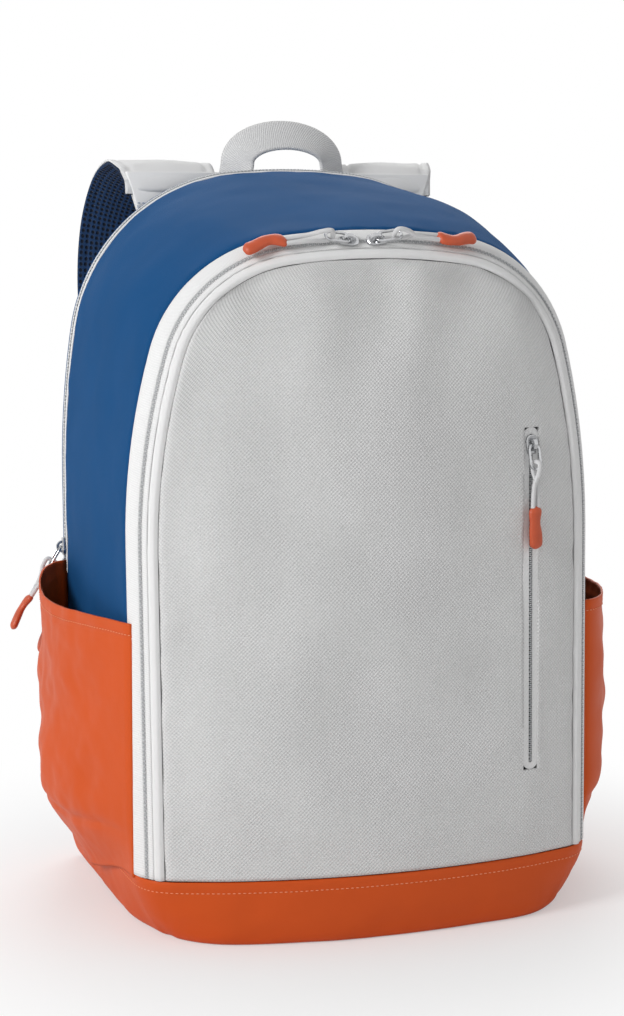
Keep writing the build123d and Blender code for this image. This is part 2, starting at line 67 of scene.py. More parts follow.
# ------------------------------------------------------------------ CAD skin
class Skin:
    """Rays against some CAD nodes, which also say which node was hit."""

    def __init__(self, *nodes):
        corners, faces, self.owner = [], [], []
        for name in nodes:
            mesh = frame["nodes"][name].data
            first = len(corners)
            corners += [v.co.copy() for v in mesh.vertices]
            faces += [[first + i for i in p.vertices] for p in mesh.polygons]
            self.owner += [name] * len(mesh.polygons)
        self.tree = BVHTree.FromPolygons(corners, faces)

    def from_outside(self, target, outward, reach=0.2):
        """Outermost point of the skin on the line through target."""
        place, normal, face, _ = self.tree.ray_cast(target + outward * reach, -outward, reach * 1.4)
        if place is None:
            return None
        if normal.dot(outward) < 0:
            normal = -normal
        return place, normal, self.owner[face]


SHELL = ("front_panel", "pocket_zip_tape", "pocket_zip_coil", "front_piping",
         "front_zip_tape_flap", "front_zip_coil", "front_zip_tape_body", "gusset",
         "main_zip_tape_front", "main_zip_coil", "main_zip_tape_back", "rear_gusset",
         "back_panel")
shell = Skin(*SHELL)
foot_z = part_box("gusset")[0].z
front_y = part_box("front_panel")[0].y
back_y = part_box("back_panel")[1].y


def lengths_along(places):
    """Length of a polyline up to each of its points."""
    lengths = [0.0]
    for a, b in zip(places, places[1:]):
        lengths.append(lengths[-1] + (b - a).length)
    return lengths


def walk(lengths, wants):
    """The segment that each wanted length falls in, and its share along it; wants rise."""
    k = 0
    for want in wants:
        while k < len(lengths) - 2 and lengths[k + 1] < want:
            k += 1
        span = lengths[k + 1] - lengths[k]
        yield k, (want - lengths[k]) / span if span else 0


def evenly(length, count):
    return [length * i / (count - 1) for i in range(count)]


def resample(points, count):
    """Evenly spaced points along a polyline."""
    lengths = lengths_along(points)
    return [points[k].lerp(points[k + 1], min(1.0, share))
            for k, share in walk(lengths, evenly(lengths[-1], count))], lengths[-1]


ARCH_HUB = 0.25         # height from which the arch's rays fan out


def arch_spine(count):
    """Points and outward normals up one side, over the crown and down the other."""
    middle = Skin("gusset", "base_panel")
    rough = []
    for i in range(40):
        z = foot_z + 0.0006 + (ARCH_HUB - foot_z) * i / 40
        rough.append(middle.from_outside(Vector((-0.16, 0, z)), Vector((-1, 0, 0)))[0])
    for i in range(181):
        angle = pi * (1 - i / 180)
        out = Vector((cos(angle), 0, sin(angle)))
        rough.append(middle.from_outside(Vector((0, 0, ARCH_HUB)) + out * 0.16, out, 0.3)[0])
    rough += [Vector((-p.x, p.y, p.z)) for p in reversed(rough[:40])]
    points, length = resample(rough, count)
    normals = []
    for i in range(count):
        low, high = max(0, i - 3), min(count - 1, i + 3)
        run = (points[high] - points[low]).normalized()
        normals.append(Vector((-run.z, 0, run.x)))
    return points, normals, length


STATIONS = 321
CLOTH_WALL = 0.0022     # thickness of the shell's cloth
ZIP_PITCH = 0.00125     # from one turn of a coil to the next
spine, outward, spine_length = arch_spine(STATIONS)
roll_y = front_y + 0.036


def ray_at(k, tau_):
    """The ray of station k: 0 to 1 over the panel's edge, to 2 round the roll, to 3 back."""
    p, n = spine[k], outward[k]
    inside = 0.044
    depth = roll_y + 0.012
    bow = 0.5 * p.x * p.x / 0.43
    if tau_ < 1:
        a = 0.075 + (inside - 0.075) * tau_
        start = p - n * a
        return Vector((start.x, depth, start.z)), -BACKWARD
    if tau_ < 2:
        angle = (tau_ - 1) * pi / 2
        start = p - n * inside
        return Vector((start.x, depth, start.z)), (-BACKWARD * cos(angle) + n * sin(angle)).normalized()
    y = depth + (back_y - 0.0008 - depth) * (tau_ - 2)
    start = p - n * inside
    return Vector((start.x, y, start.z)), n


def look(k, tau_):
    origin, direction = ray_at(k, tau_)
    got = shell.tree.ray_cast(origin + direction * 0.14, -direction, 0.16)
    if got[0] is None:
        return None
    normal = got[1] if got[1].dot(direction) > 0 else -got[1]
    return got[0], normal, shell.owner[got[2]]


PROFILE = [i / 16 for i in range(16)] + [1 + i / 22 for i in range(22)] + [2 + i / 40 for i in range(41)]


def read_profiles():
    """For each station, the span of every shell node along its profile."""
    spans = []
    for k in range(STATIONS):
        found, seen = {}, [(t, look(k, t)) for t in PROFILE]
        seen = [(t, h) for t, h in seen if h]
        for (t0, h0), (t1, h1) in zip(seen, seen[1:]):
            found.setdefault(h0[2], [t0, t0])[1] = t0
            found.setdefault(h1[2], [t1, t1])
            steps = [t0 + (t1 - t0) * j / 12 for j in range(13)]
            fine = [(t, look(k, t)) for t in steps] if h0[2] != h1[2] else []
            fine = [(t, h) for t, h in fine if h]
            for (a, ha), (b, hb) in zip(fine, fine[1:]):
                if ha[2] == hb[2]:
                    continue
                low, high = a, b
                for _ in range(8):
                    mid = (low + high) / 2
                    got = look(k, mid)
                    if got and got[2] == ha[2]:
                        low = mid
                    else:
                        high = mid
                found.setdefault(ha[2], [a, a])
                found[ha[2]][1] = low
                if hb[2] not in found or found[hb[2]][0] > high:
                    found[hb[2]] = [high, max(high, b)]
            found[h1[2]][1] = max(found[h1[2]][1], t1)
        spans.append(found)
    return spans


spans = read_profiles()


def along_profile(k, low, high, count):
    """Evenly spaced places on the skin of station k between two rays."""
    fine = []
    for i in range(4 * count + 1):
        got = look(k, low + (high - low) * i / (4 * count))
        if got:
            fine.append((got[0], got[1]))
    lengths = lengths_along([place for place, _ in fine])
    places = []
    for j, share in walk(lengths, evenly(lengths[-1], count)):
        share = min(1.0, share)
        place = fine[j][0].lerp(fine[j + 1][0], share)
        normal = fine[j][1].lerp(fine[j + 1][1], share).normalized()
        places.append((place, normal))
    return places, lengths[-1]


# ------------------------------------------------------------- mesh helpers
def add_object(name, data):
    thing = bpy.data.objects.new(name, data)
    bpy.context.scene.collection.objects.link(thing)
    return thing


def finish_piece(name, bm, material, body="bag", smooth=True, stands_for=()):
    """Turns a bmesh into a finished piece that rides on a body, if one is given."""
    bmesh.ops.remove_doubles(bm, verts=bm.verts, dist=1e-6)
    mesh = bpy.data.meshes.new(name)
    bm.to_mesh(mesh)
    bm.free()
    piece = add_object(name, mesh)
    for p in mesh.polygons:
        p.use_smooth = smooth
    mesh.materials.append(material)
    if body:
        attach(piece, body)
    if stands_for:
        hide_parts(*stands_for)
    return piece


def add_solidify(piece, thickness, offset=-1.0):
    wall = piece.modifiers.new("wall", "SOLIDIFY")
    wall.thickness = thickness
    wall.offset = offset
    return wall


def add_subdivision(piece, levels=1):
    finer = piece.modifiers.new("finer", "SUBSURF")
    finer.levels = levels
    finer.render_levels = levels
    return finer


def cloth_grid(columns, rows, place_at, size=(1.0, 1.0)):
    """A grid whose vertices are laid by place_at(i, j); its UV map is in metres."""
    bm = bmesh.new()
    bmesh.ops.create_grid(bm, x_segments=columns - 1, y_segments=rows - 1, size=0.5, calc_uvs=True)
    uv = bm.loops.layers.uv.verify()
    for face in bm.faces:
        for loop in face.loops:
            co = loop.vert.co
            loop[uv].uv = ((co.x + 0.5) * size[0], (co.y + 0.5) * size[1])
    for vertex in bm.verts:
        i = round((vertex.co.x + 0.5) * (columns - 1))
        j = round((vertex.co.y + 0.5) * (rows - 1))
        vertex.co = place_at(i, j)
    return bm


def face_out(bm, inward):
    """Makes the faces agree, and turns them all round if inward(faces) holds."""
    bmesh.ops.recalc_face_normals(bm, faces=bm.faces)
    bm.faces.ensure_lookup_table()
    if inward(bm.faces):
        bmesh.ops.reverse_faces(bm, faces=bm.faces)


def ripple(place, scale, seed=0.0, octaves=2):
    """Soft noise from -1 to 1 or so, the same on every run."""
    at = Vector((place.x / scale + seed, place.y / scale - seed, place.z / scale + 0.7 * seed))
    total, gain = 0.0, 1.0
    for _ in range(octaves):
        total += gain * noise.noise(at)
        at = at * 2.03
        gain *= 0.45
    return total


# ---------------------------------------------------------------- materials
def new_material(name, colour, roughness, metallic=0.0, sheen=0.0, gloss=0.5):
    """A material with its shader, and the nodes and links to add detail with."""
    mat = bpy.data.materials.new(name)
    mat.use_nodes = True
    nodes, links = mat.node_tree.nodes, mat.node_tree.links
    shader = nodes["Principled BSDF"]
    shader.inputs["Base Color"].default_value = (*colour, 1)
    shader.inputs["Roughness"].default_value = roughness
    shader.inputs["Metallic"].default_value = metallic
    shader.inputs["Specular IOR Level"].default_value = gloss
    if sheen:
        shader.inputs["Sheen Weight"].default_value = sheen
        shader.inputs["Sheen Roughness"].default_value = 0.5
    return mat, nodes, links, shader


def maths(nodes, links, kind, a, b=None, c=None):
    node = nodes.new("ShaderNodeMath")
    node.operation = kind
    for socket, value in zip(node.inputs, (a, b, c)):
        if value is None:
            continue
        if isinstance(value, (int, float)):
            socket.default_value = value
        else:
            links.new(value, socket)
    return node.outputs[0]


def coordinates(nodes, links, kind):
    """The piece's own UV map, in metres, or its Object coordinates, as x, y, z."""
    where = nodes.new("ShaderNodeTexCoord")
    split = nodes.new("ShaderNodeSeparateXYZ")
    links.new(where.outputs[kind], split.inputs[0])
    return where.outputs[kind], split.outputs


def noise_value(nodes, links, vector, scale, detail=3.0):
    node = nodes.new("ShaderNodeTexNoise")
    node.inputs["Scale"].default_value = scale
    node.inputs["Detail"].default_value = detail
    links.new(vector, node.inputs["Vector"])
    return node.outputs["Fac"]


def tint(nodes, links, shader, factor, dark, light):
    """Colour runs from dark to light with factor."""
    mix = nodes.new("ShaderNodeMix")
    mix.data_type = "RGBA"
    links.new(factor, mix.inputs["Factor"])
    mix.inputs["A"].default_value = (*dark, 1)
    mix.inputs["B"].default_value = (*light, 1)
    links.new(mix.outputs["Result"], shader.inputs["Base Color"])


def relief(nodes, links, shader, height, distance, strength=1.0):
    bump = nodes.new("ShaderNodeBump")
    bump.inputs["Distance"].default_value = distance
    bump.inputs["Strength"].default_value = strength
    links.new(height, bump.inputs["Height"])
    links.new(bump.outputs["Normal"], shader.inputs["Normal"])


def shade(colour, by):
    return tuple(min(1.0, c * by) for c in colour)


def plain_weave(name, colour, pitch, kind="UV", axes=(0, 1), depth=0.00016, contrast=0.13, sheen=0.25,
                roughness=0.82):
    """Plain weave: two sets of threads, uneven along their length. Its colour is painted darker in the
    hollows between the threads and lighter on their tops, as painted shade, over a random cloud of real tone.
    """
    mat, nodes, links, shader = new_material(name, colour, roughness, sheen=sheen, gloss=0.18)
    vector, xyz = coordinates(nodes, links, kind)
    warp = maths(nodes, links, "SINE", maths(nodes, links, "MULTIPLY", xyz[axes[0]], tau / pitch))
    weft = maths(nodes, links, "SINE", maths(nodes, links, "MULTIPLY", xyz[axes[1]], tau / pitch))
    crossing = maths(nodes, links, "MULTIPLY", warp, weft)
    thread = noise_value(nodes, links, vector, 900.0, 2.0)
    cloud = noise_value(nodes, links, vector, 14.0, 3.0)
    height = maths(nodes, links, "MULTIPLY_ADD", crossing, 0.5, 0.5)
    rough_height = maths(nodes, links, "MULTIPLY_ADD", thread, 0.55, height)
    painted_weave_shade = maths(nodes, links, "MULTIPLY", rough_height, 0.5)
    # painted shade: the colour follows half the thread height, darker in the hollows between threads, plus a
    # random cloud of tone
    painted_shade_and_tone = maths(nodes, links, "MULTIPLY_ADD", cloud, 0.5, painted_weave_shade)
    tint(nodes, links, shader, painted_shade_and_tone, shade(colour, 1 - contrast), shade(colour, 1 + contrast * 0.7))
    relief(nodes, links, shader, rough_height, depth)
    return mat


def coated_cloth(name, colour, kind="UV"):
    """Coated polyester: smooth, faintly grained, with a soft gloss."""
    mat, nodes, links, shader = new_material(name, colour, 0.46, gloss=0.2)
    vector = coordinates(nodes, links, kind)[0]
    grain = noise_value(nodes, links, vector, 1500.0, 2.0)
    crease = noise_value(nodes, links, vector, 60.0, 4.0)
    cloud = noise_value(nodes, links, vector, 9.0, 2.0)
    tint(nodes, links, shader, cloud, shade(colour, 0.9), shade(colour, 1.08))
    height = maths(nodes, links, "MULTIPLY_ADD", crease, 0.9, maths(nodes, links, "MULTIPLY", grain, 0.12))
    relief(nodes, links, shader, height, 0.0006, 0.55)
    glossy = maths(nodes, links, "MULTIPLY_ADD", cloud, 0.16, 0.38)
    links.new(glossy, shader.inputs["Roughness"])
    return mat


def ribbed_tape(name, colour, pitch, kind="UV", axis=0, depth=0.0002, contrast=0.12, roughness=0.75):
    """Twill tape or webbing: fine ribs across its length. Its colour follows the ribs' height, darker in the
    grooves as painted shade, with random thread tone mixed in.
    """
    mat, nodes, links, shader = new_material(name, colour, roughness, sheen=0.1, gloss=0.25)
    vector, xyz = coordinates(nodes, links, kind)
    other = 1 - axis if kind == "UV" else 2
    slant = maths(nodes, links, "MULTIPLY_ADD", xyz[other], 0.35, xyz[axis])
    rib = maths(nodes, links, "SINE", maths(nodes, links, "MULTIPLY", slant, tau / pitch))
    thread = noise_value(nodes, links, vector, 1100.0, 2.0)
    ribs = maths(nodes, links, "MULTIPLY_ADD", rib, 0.35, 0.35)
    height = maths(nodes, links, "MULTIPLY_ADD", thread, 0.5, ribs)
    # painted shade: the tape is darker in the grooves between its ribs; the thread noise adds random tone
    tint(nodes, links, shader, height, shade(colour, 1 - contrast), shade(colour, 1 + contrast * 0.5))
    relief(nodes, links, shader, height, depth)
    return mat


def linear(r, g, b):
    """Linear colour of an 8-bit display colour."""
    return tuple((c / 255 / 12.92) if c <= 10 else ((c / 255 + 0.055) / 1.055) ** 2.4 for c in (r, g, b))


PALE = linear(213, 213, 213)
WHITE = linear(236, 236, 236)
BLUE = linear(12, 72, 122)
ORANGE = linear(206, 82, 26)

panel_cloth = plain_weave("panel_cloth", PALE, 0.0024, sheen=0.0, contrast=0.28, depth=0.0004)
blue_cloth = plain_weave("blue_cloth", BLUE, 0.0017, contrast=0.26, sheen=0.0)
orange_cloth = coated_cloth("orange_cloth", ORANGE)
white_tape = ribbed_tape("white_tape", WHITE, 0.0011)
piping_cloth = plain_weave("piping_cloth", WHITE, 0.0010, contrast=0.07, sheen=0.1)


# ------------------------------------------------------------- shell strips
def strip(name, node, rows, bulge, material, body="bag", first=0, last=STATIONS - 1,
          thickness=CLOTH_WALL, sink=0.0008, bumps=None):
    """A band of the shell along the arch: laid on the CAD skin, sunk at both seams."""
    table, width = [], 0.0
    for k in range(first, last + 1):
        low, high = spans[k][node]
        places, width_here = along_profile(k, low, high, rows)
        width = max(width, width_here)
        column = []
        for j, (place, normal) in enumerate(places):
            v = j / (rows - 1)
            edge = min(v, 1 - v) * width_here
            rise = bulge * smoothstep(0, 0.35, min(v, 1 - v)) - sink * (1 - smoothstep(0, 0.0022, edge))
            if bumps:
                rise += bumps(place, k, v, edge)
            column.append(place + normal * rise)
        table.append(column)
    length = spine_length * (last - first) / (STATIONS - 1)
    bm = cloth_grid(last - first + 1, rows, lambda i, j: table[i][j], (length, width))

    def inward(faces):
        probe = faces[len(faces) // 2]
        return probe.normal.dot(probe.calc_center_median() - Vector((0, 0, ARCH_HUB))) < 0

    face_out(bm, inward)
    piece = finish_piece(name, bm, material, body, stands_for=(node,))
    add_solidify(piece, thickness)
    return piece


def side_bumps(place, k, v, edge):
    """Soft dents over the side and puckers at its seams."""
    seam = exp(-edge / 0.010)
    pucker = 0.0009 * seam * ripple(place, 0.011, 3.0, 1)
    slump = 0.0026 * ripple(place, 0.085, 9.0) * smoothstep(0, 0.03, edge)
    fine = 0.0006 * ripple(place, 0.030, 5.0)
    steep = degrees(atan2(outward[k].z, abs(outward[k].x)))
    stuffed = (0.0015 + 0.004 * smoothstep(2, 30, steep) * smoothstep(88, 55, steep)
               + 0.002 * smoothstep(55, 88, steep))
    return pucker + slump + fine + stuffed * sin(pi * v) ** 0.8


strip("side_gusset", "gusset", 41, 0.0006, blue_cloth, bumps=side_bumps)
strip("rear_edge", "rear_gusset", 5, 0.0003, blue_cloth, sink=0.0004)
strip("outer_zip_tape", "front_zip_tape_body", 15, 0.0005, white_tape, sink=0.0005)
strip("inner_zip_tape", "front_zip_tape_flap", 5, 0.0, white_tape, body="front_flap", sink=0.0003)
strip("panel_piping", "front_piping", 11, 0.0011, piping_cloth, body="front_flap", sink=0.0006)


# -------------------------------------------------------------- front panel
def coons(bottom, top, left, right, u, v):
    """Place inside four edges that meet at the corners; each edge is a function of 0 to 1."""
    ruled = bottom(u) * (1 - v) + top(u) * v + left(v) * (1 - u) + right(v) * u
    corners = (bottom(0) * (1 - u) * (1 - v) + bottom(1) * u * (1 - v)
               + top(0) * (1 - u) * v + top(1) * u * v)
    return ruled - corners


def polyline_at(points):
    return lambda share: points[min(len(points) - 1, max(0, round(share * (len(points) - 1))))]


def panel_rim():
    """Edge of the front panel, station by station."""
    rim = []
    for k in range(STATIONS):
        high = spans[k]["front_panel"][1]
        rim.append(look(k, high - 0.004)[0])
    return rim


PANEL_COLUMNS, PANEL_ROWS = 121, 171
rim = panel_rim()
shoulder = min(range(STATIONS), key=lambda k: abs(degrees(atan2(outward[k].z, outward[k].x)) - 135))
flat = lambda points: [Vector((p.x, 0, p.z)) for p in points]
left_edge = polyline_at(resample(flat(rim[:shoulder + 1]), PANEL_ROWS)[0])
right_edge = polyline_at(resample(flat(rim[:STATIONS - shoulder - 2:-1]), PANEL_ROWS)[0])
top_edge = polyline_at(resample(flat(rim[shoulder:STATIONS - shoulder]), PANEL_COLUMNS)[0])
bottom_edge = polyline_at(resample([left_edge(0), right_edge(0)], PANEL_COLUMNS)[0])
panel_skin = Skin("front_panel", "pocket_zip_tape", "pocket_zip_coil", "front_piping")


def panel_place(i, j):
    u, v = i / (PANEL_COLUMNS - 1), j / (PANEL_ROWS - 1)
    spot = coons(bottom_edge, top_edge, left_edge, right_edge, u, v)
    got = panel_skin.from_outside(Vector((spot.x, front_y + 0.02, spot.z)), -BACKWARD)
    place, normal = got[0], got[1]
    edge = min(u, 1 - u) * 0.27
    top = (1 - v) * 0.38
    reach = min(edge, top)
    pucker = 0.0008 * exp(-reach / 0.012) * ripple(place, 0.012, 2.0, 1)
    wander = 2.2 * ripple(place, 0.08, 4.0)
    pleats = 0.0026 * exp(-top / 0.05) * sin(place.x * 95 + wander) * smoothstep(0, 0.012, top)
    slump = 0.0038 * ripple(place, 0.10, 6.0) * smoothstep(0.0, 0.03, reach) * smoothstep(0, 0.03, v * 0.38)
    sunk = 0.0010 * (1 - smoothstep(0, 0.0024, min(reach, v * 0.38 + 0.0008)))
    full = 0.0016 * smoothstep(0, 0.04, reach)
    return place + normal * (pucker + pleats + slump + full - sunk)


bm = cloth_grid(PANEL_COLUMNS, PANEL_ROWS, panel_place, (0.272, 0.38))
tape_low, tape_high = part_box("pocket_zip_tape")
for point, normal in (((tape_low.x, 0, 0), (1, 0, 0)), ((tape_high.x, 0, 0), (1, 0, 0)),
                      ((0, 0, tape_low.z), (0, 0, 1)), ((0, 0, tape_high.z), (0, 0, 1))):
    bmesh.ops.bisect_plane(bm, geom=bm.verts[:] + bm.edges[:] + bm.faces[:], dist=1e-6,
                           plane_co=point, plane_no=normal)
slot_faces = [f for f in bm.faces if tape_low.x < f.calc_center_median().x < tape_high.x
              and tape_low.z < f.calc_center_median().z < tape_high.z]
bmesh.ops.delete(bm, geom=slot_faces, context="FACES")
face_out(bm, lambda faces: faces[0].normal.y > 0)
front_cloth = finish_piece("front_cloth", bm, panel_cloth, "front_flap",
                           stands_for=("front_panel",))
add_solidify(front_cloth, CLOTH_WALL)


# ------------------------------------------------------------------ stitches
def stitch_row(name, line, material, body, pitch=0.0032, length=0.0024, radius=0.00032,
               lift=0.0001):
    """Small thread stitches along a line of (place, normal)."""
    places = [p for p, _ in line]
    lengths = lengths_along(places)
    bm = bmesh.new()
    for k, share in walk(lengths, [(i + 0.5) * pitch for i in range(int(lengths[-1] / pitch))]):
        at = places[k].lerp(places[k + 1], share)
        up = line[k][1].lerp(line[k + 1][1], share).normalized()
        run = (places[k + 1] - places[k]).normalized()
        across = up.cross(run).normalized()
        frame_ = Matrix((run * length / 2, across * radius, up * radius)).transposed().to_4x4()
        frame_.translation = at + up * lift
        bmesh.ops.create_icosphere(bm, subdivisions=1, radius=1.0, matrix=frame_)
    return finish_piece(name, bm, material, body)


# ----------------------------------------------------------------- base tub
tub = Skin("base_panel")
TUB_COLUMNS = 361


def tub_outline(z):
    """Outline of the tub at a height, all round from the middle of the back."""
    rough = []
    for i in range(TUB_COLUMNS):
        angle = tau * i / (TUB_COLUMNS - 1) + pi / 2
        out = Vector((cos(angle), sin(angle), 0))
        rough.append(tub.from_outside(Vector((0, 0, z)) + out * 0.11, out, 0.2)[0])
    even, length = resample(rough, TUB_COLUMNS)
    normals = []
    for i in range(TUB_COLUMNS):
        run = even[(i + 2) % (TUB_COLUMNS - 1)] - even[(i - 2) % (TUB_COLUMNS - 1)]
        normals.append(Vector((run.y, -run.x, 0)).normalized())
    return even, normals, length


tub_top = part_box("base_panel")[1].z
tub_rim, tub_out, tub_length = tub_outline(tub_top * 0.55)
TUB_HEIGHTS = [0.0, 0.0008, 0.002, 0.004, 0.007, 0.010, 0.014, 0.018, 0.022, 0.026,
               0.0295, 0.033, 0.0358, 0.038, 0.0395, 0.0406, 0.0414]
TUB_FLOOR = (0.985, 0.93, 0.8, 0.6, 0.35, 0.02)


def tub_place(i, j):
    rim, out = tub_rim[i], tub_out[i]
    front_corner = exp(-((abs(rim.x) - 0.142) / 0.026) ** 2 - ((rim.y + 0.085) / 0.034) ** 2)
    if j < len(TUB_HEIGHTS):
        drop = TUB_HEIGHTS[j]
        z = tub_top - drop
        low = 1 - z / tub_top
        side = smoothstep(0.10, 0.15, abs(rim.x))
        inset = (0.0022 + 0.005 * side) * low ** 1.6 + 0.013 * front_corner * low ** 1.2
        turn_in = 0.0040 * (1 - sqrt(max(0.0, 1 - max(0.0, 1 - z / 0.007) ** 2)))
        crease = 0.0011 * ripple(Vector((rim.x, rim.y, z * 2.2)), 0.034, 12.0) * smoothstep(0, 0.012, drop)
        sag = 0.0012 * sin(pi * min(1.0, drop / tub_top))
        sunk = 0.0007 * (1 - smoothstep(0, 0.002, drop))
        groove = 0.0009 * exp(-((abs(rim.x) - 0.1365) / 0.0011) ** 2) * (rim.y < 0) * (z > 0.003)
        place = rim - out * (inset + turn_in - crease - sag + sunk + groove)
        return Vector((place.x, place.y, max(z, 0.0003)))
    shrink = TUB_FLOOR[j - len(TUB_HEIGHTS)]
    last = tub_place(i, len(TUB_HEIGHTS) - 1)
    return Vector((last.x * shrink, last.y * shrink, 0.0003 + 0.0012 * (1 - shrink)))


TUB_ROWS = len(TUB_HEIGHTS) + len(TUB_FLOOR)
bm = cloth_grid(TUB_COLUMNS, TUB_ROWS, tub_place, (tub_length, 0.075))
bmesh.ops.remove_doubles(bm, verts=bm.verts, dist=2e-5)
foot_edges = [e for e in bm.edges if e.is_boundary and e.verts[0].co.z < 0.01]
bmesh.ops.holes_fill(bm, edges=foot_edges, sides=0)
face_out(bm, lambda faces: max(faces, key=lambda f: -f.calc_center_median().y).normal.y > 0)
tub_cloth = finish_piece("base_tub", bm, orange_cloth, "bag", stands_for=("base_panel",))
add_solidify(tub_cloth, CLOTH_WALL)

board_plastic = plain_weave("board_plastic", linear(60, 60, 62), 0.003, contrast=0.1)
bm = bmesh.new()
board_low, board_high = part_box("base_stiffener")
bmesh.ops.create_cube(bm, size=1.0)
for v in bm.verts:
    v.co = Vector((v.co.x * (board_high.x - board_low.x - 0.080),
                   v.co.y * (board_high.y - board_low.y - 0.060),
                   board_low.z + (v.co.z + 0.5) * (board_high.z - board_low.z)))
upright = [e for e in bm.edges if abs((e.verts[0].co - e.verts[1].co).normalized().z) > 0.9]
bmesh.ops.bevel(bm, geom=upright, offset=0.03, affect="EDGES", segments=8, profile=0.5, material=-1)
finish_piece("base_board", bm, board_plastic, "bag", smooth=False,
             stands_for=("base_stiffener",))

thread_pale = new_material("thread_pale", linear(232, 150, 110), 0.7)[0]
thread_white = new_material("thread_white", linear(205, 205, 205), 0.7)[0]
seam_row = []
for i in range(TUB_COLUMNS):
    place = tub_place(i, 4)
    seam_row.append((place, tub_out[i]))
stitch_row("base_stitches", seam_row, thread_pale, "bag")


# -------------------------------------------------------------- side pockets
walls = Skin("gusset", "front_zip_tape_body", "rear_gusset", "base_panel", "main_zip_tape_front",
             "main_zip_coil", "main_zip_tape_back")
pocket_low, pocket_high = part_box("side_pocket_left")
POCKET_COLUMNS, POCKET_ROWS = 81, 91
SWELL = ((0.0, 0.0), (0.06, 0.13), (0.22, 0.47), (0.45, 0.84), (0.66, 1.0), (0.82, 0.93),
         (0.94, 0.62), (1.0, 0.0))


def swell_at(share):
    """Plan swell of the pocket from its front seam to its rear one."""
    for (a, b), (c, d) in zip(SWELL, SWELL[1:]):
        if share <= c:
            t = (share - a) / (c - a)
            return b + (d - b) * t
    return 0.0


def smooth_swell(share):
    spread = 0.05
    return sum(swell_at(min(1.0, max(0.0, share + spread * d))) for d in (-1, -0.5, 0, 0.5, 1)) / 5 * min(
        1.0, share / 0.02, (1 - share) / 0.02)


def pocket_place(hand, bulge, seed, forward):
    def place_at(i, j):
        u, v = i / (POCKET_COLUMNS - 1), j / (POCKET_ROWS - 1)
        fullness = smooth_swell(u ** forward)
        y = pocket_low.y + (pocket_high.y - pocket_low.y) * u
        rise = 0.010 * smoothstep(0.72, 1.0, u) - 0.004 * smoothstep(0.45, 0.0, u)
        sag = 0.006 * sin(pi * u) ** 2
        foot_z_ = 0.040 - 0.018 * smoothstep(0.05, 0.6, u)
        z = foot_z_ + (pocket_high.z - 0.001 + rise - sag - foot_z_) * v
        out = Vector((hand, 0, 0))
        wall = walls.from_outside(Vector((hand * 0.13, y, max(z, 0.004))), out, 0.2)[0]
        foot = smoothstep(0.0, 0.30, v) ** 0.8
        reach = bulge * fullness * (0.12 + 0.88 * foot) * (1 - 0.10 * smoothstep(0.5, 1.0, v))
        spot = Vector((wall.x, y, z))
        free = min(1.0, fullness * 1.6)
        fold = 0.0054 * ripple(Vector((seed, y * 0.8 + z * 0.5, z * 0.9)), 0.050, seed)
        fold = fold * free * smoothstep(1.0, 0.75, v)
        fine = 0.0009 * ripple(Vector((seed, y, z)), 0.016, seed + 3) * free
        hem = 0.0007 * smoothstep(0.945, 0.955, v) - 0.0006 * exp(-((v - 0.950) / 0.006) ** 2)
        tuck = 0.0022 * exp(-((v - 0.16 - 0.1 * u) / 0.02) ** 2) * free
        return spot + out * (reach + fold + fine + hem - tuck + 0.0006)
    return place_at


def make_pocket(name, hand, bulge, seed, node, forward=1.0):
    place_at = pocket_place(hand, bulge, seed, forward)
    bm = cloth_grid(POCKET_COLUMNS, POCKET_ROWS, place_at, (0.21, 0.2))
    face_out(bm, lambda faces: faces[len(faces) // 2].normal.x * hand < 0)
    piece = finish_piece(name, bm, orange_cloth, "bag", stands_for=(node,))
    add_solidify(piece, 0.0014)
    row = [(place_at(i, 86), Vector((hand, 0, 0))) for i in range(POCKET_COLUMNS)]
    line = []
    for k, (at, _) in enumerate(row):
        run = (row[min(k + 1, len(row) - 1)][0] - row[max(k - 1, 0)][0]).normalized()
        line.append((at, run.cross(UP).normalized() * (1 if run.cross(UP).x * hand > 0 else -1)))
    stitch_row(name + "_stitches", line, thread_pale, "bag", lift=0.0002)


make_pocket("pocket_cloth_left", -1, 0.031, 1.7, "side_pocket_left")
make_pocket("pocket_cloth_right", 1, 0.040, 6.1, "side_pocket_right", 0.66)


# ----------------------------------------------------- webbing and cloth bands
def catmull(points, share):
    """Point on a smooth line through the given points."""
    span = share * (len(points) - 1)
    k = min(len(points) - 2, int(span))
    t = span - k
    a, b = points[max(0, k - 1)], points[k]
    c, d = points[k + 1], points[min(len(points) - 1, k + 2)]
    return ((b * 2) + (c - a) * t + (a * 2 - b * 5 + c * 4 - d) * t * t
            + (b * 3 - a - c * 3 + d) * t * t * t) * 0.5


class Band:
    """A flat band along a route: sections are (centre, direction across it)."""

    def __init__(self, sections, width):
        self.centres = [Vector(c) for c, *_ in sections]
        self.across = [Vector(a).normalized() for _, a, *_ in sections]
        self.widths = [Vector((w[2] if len(w) > 2 else width, 0, 0)) for w in sections]

    def at(self, share):
        centre = catmull(self.centres, share)
        step = 0.004
        ahead = catmull(self.centres, min(1.0, share + step)) - catmull(self.centres, max(0.0, share - step))
        run = ahead.normalized()
        across = catmull(self.across, share)
        across = (across - run * across.dot(run)).normalized()
        return centre, across, across.cross(run).normalized(), catmull(self.widths, share).x

    def length(self):
        line = [catmull(self.centres, i / 80) for i in range(81)]
        return sum((b - a).length for a, b in zip(line, line[1:]))


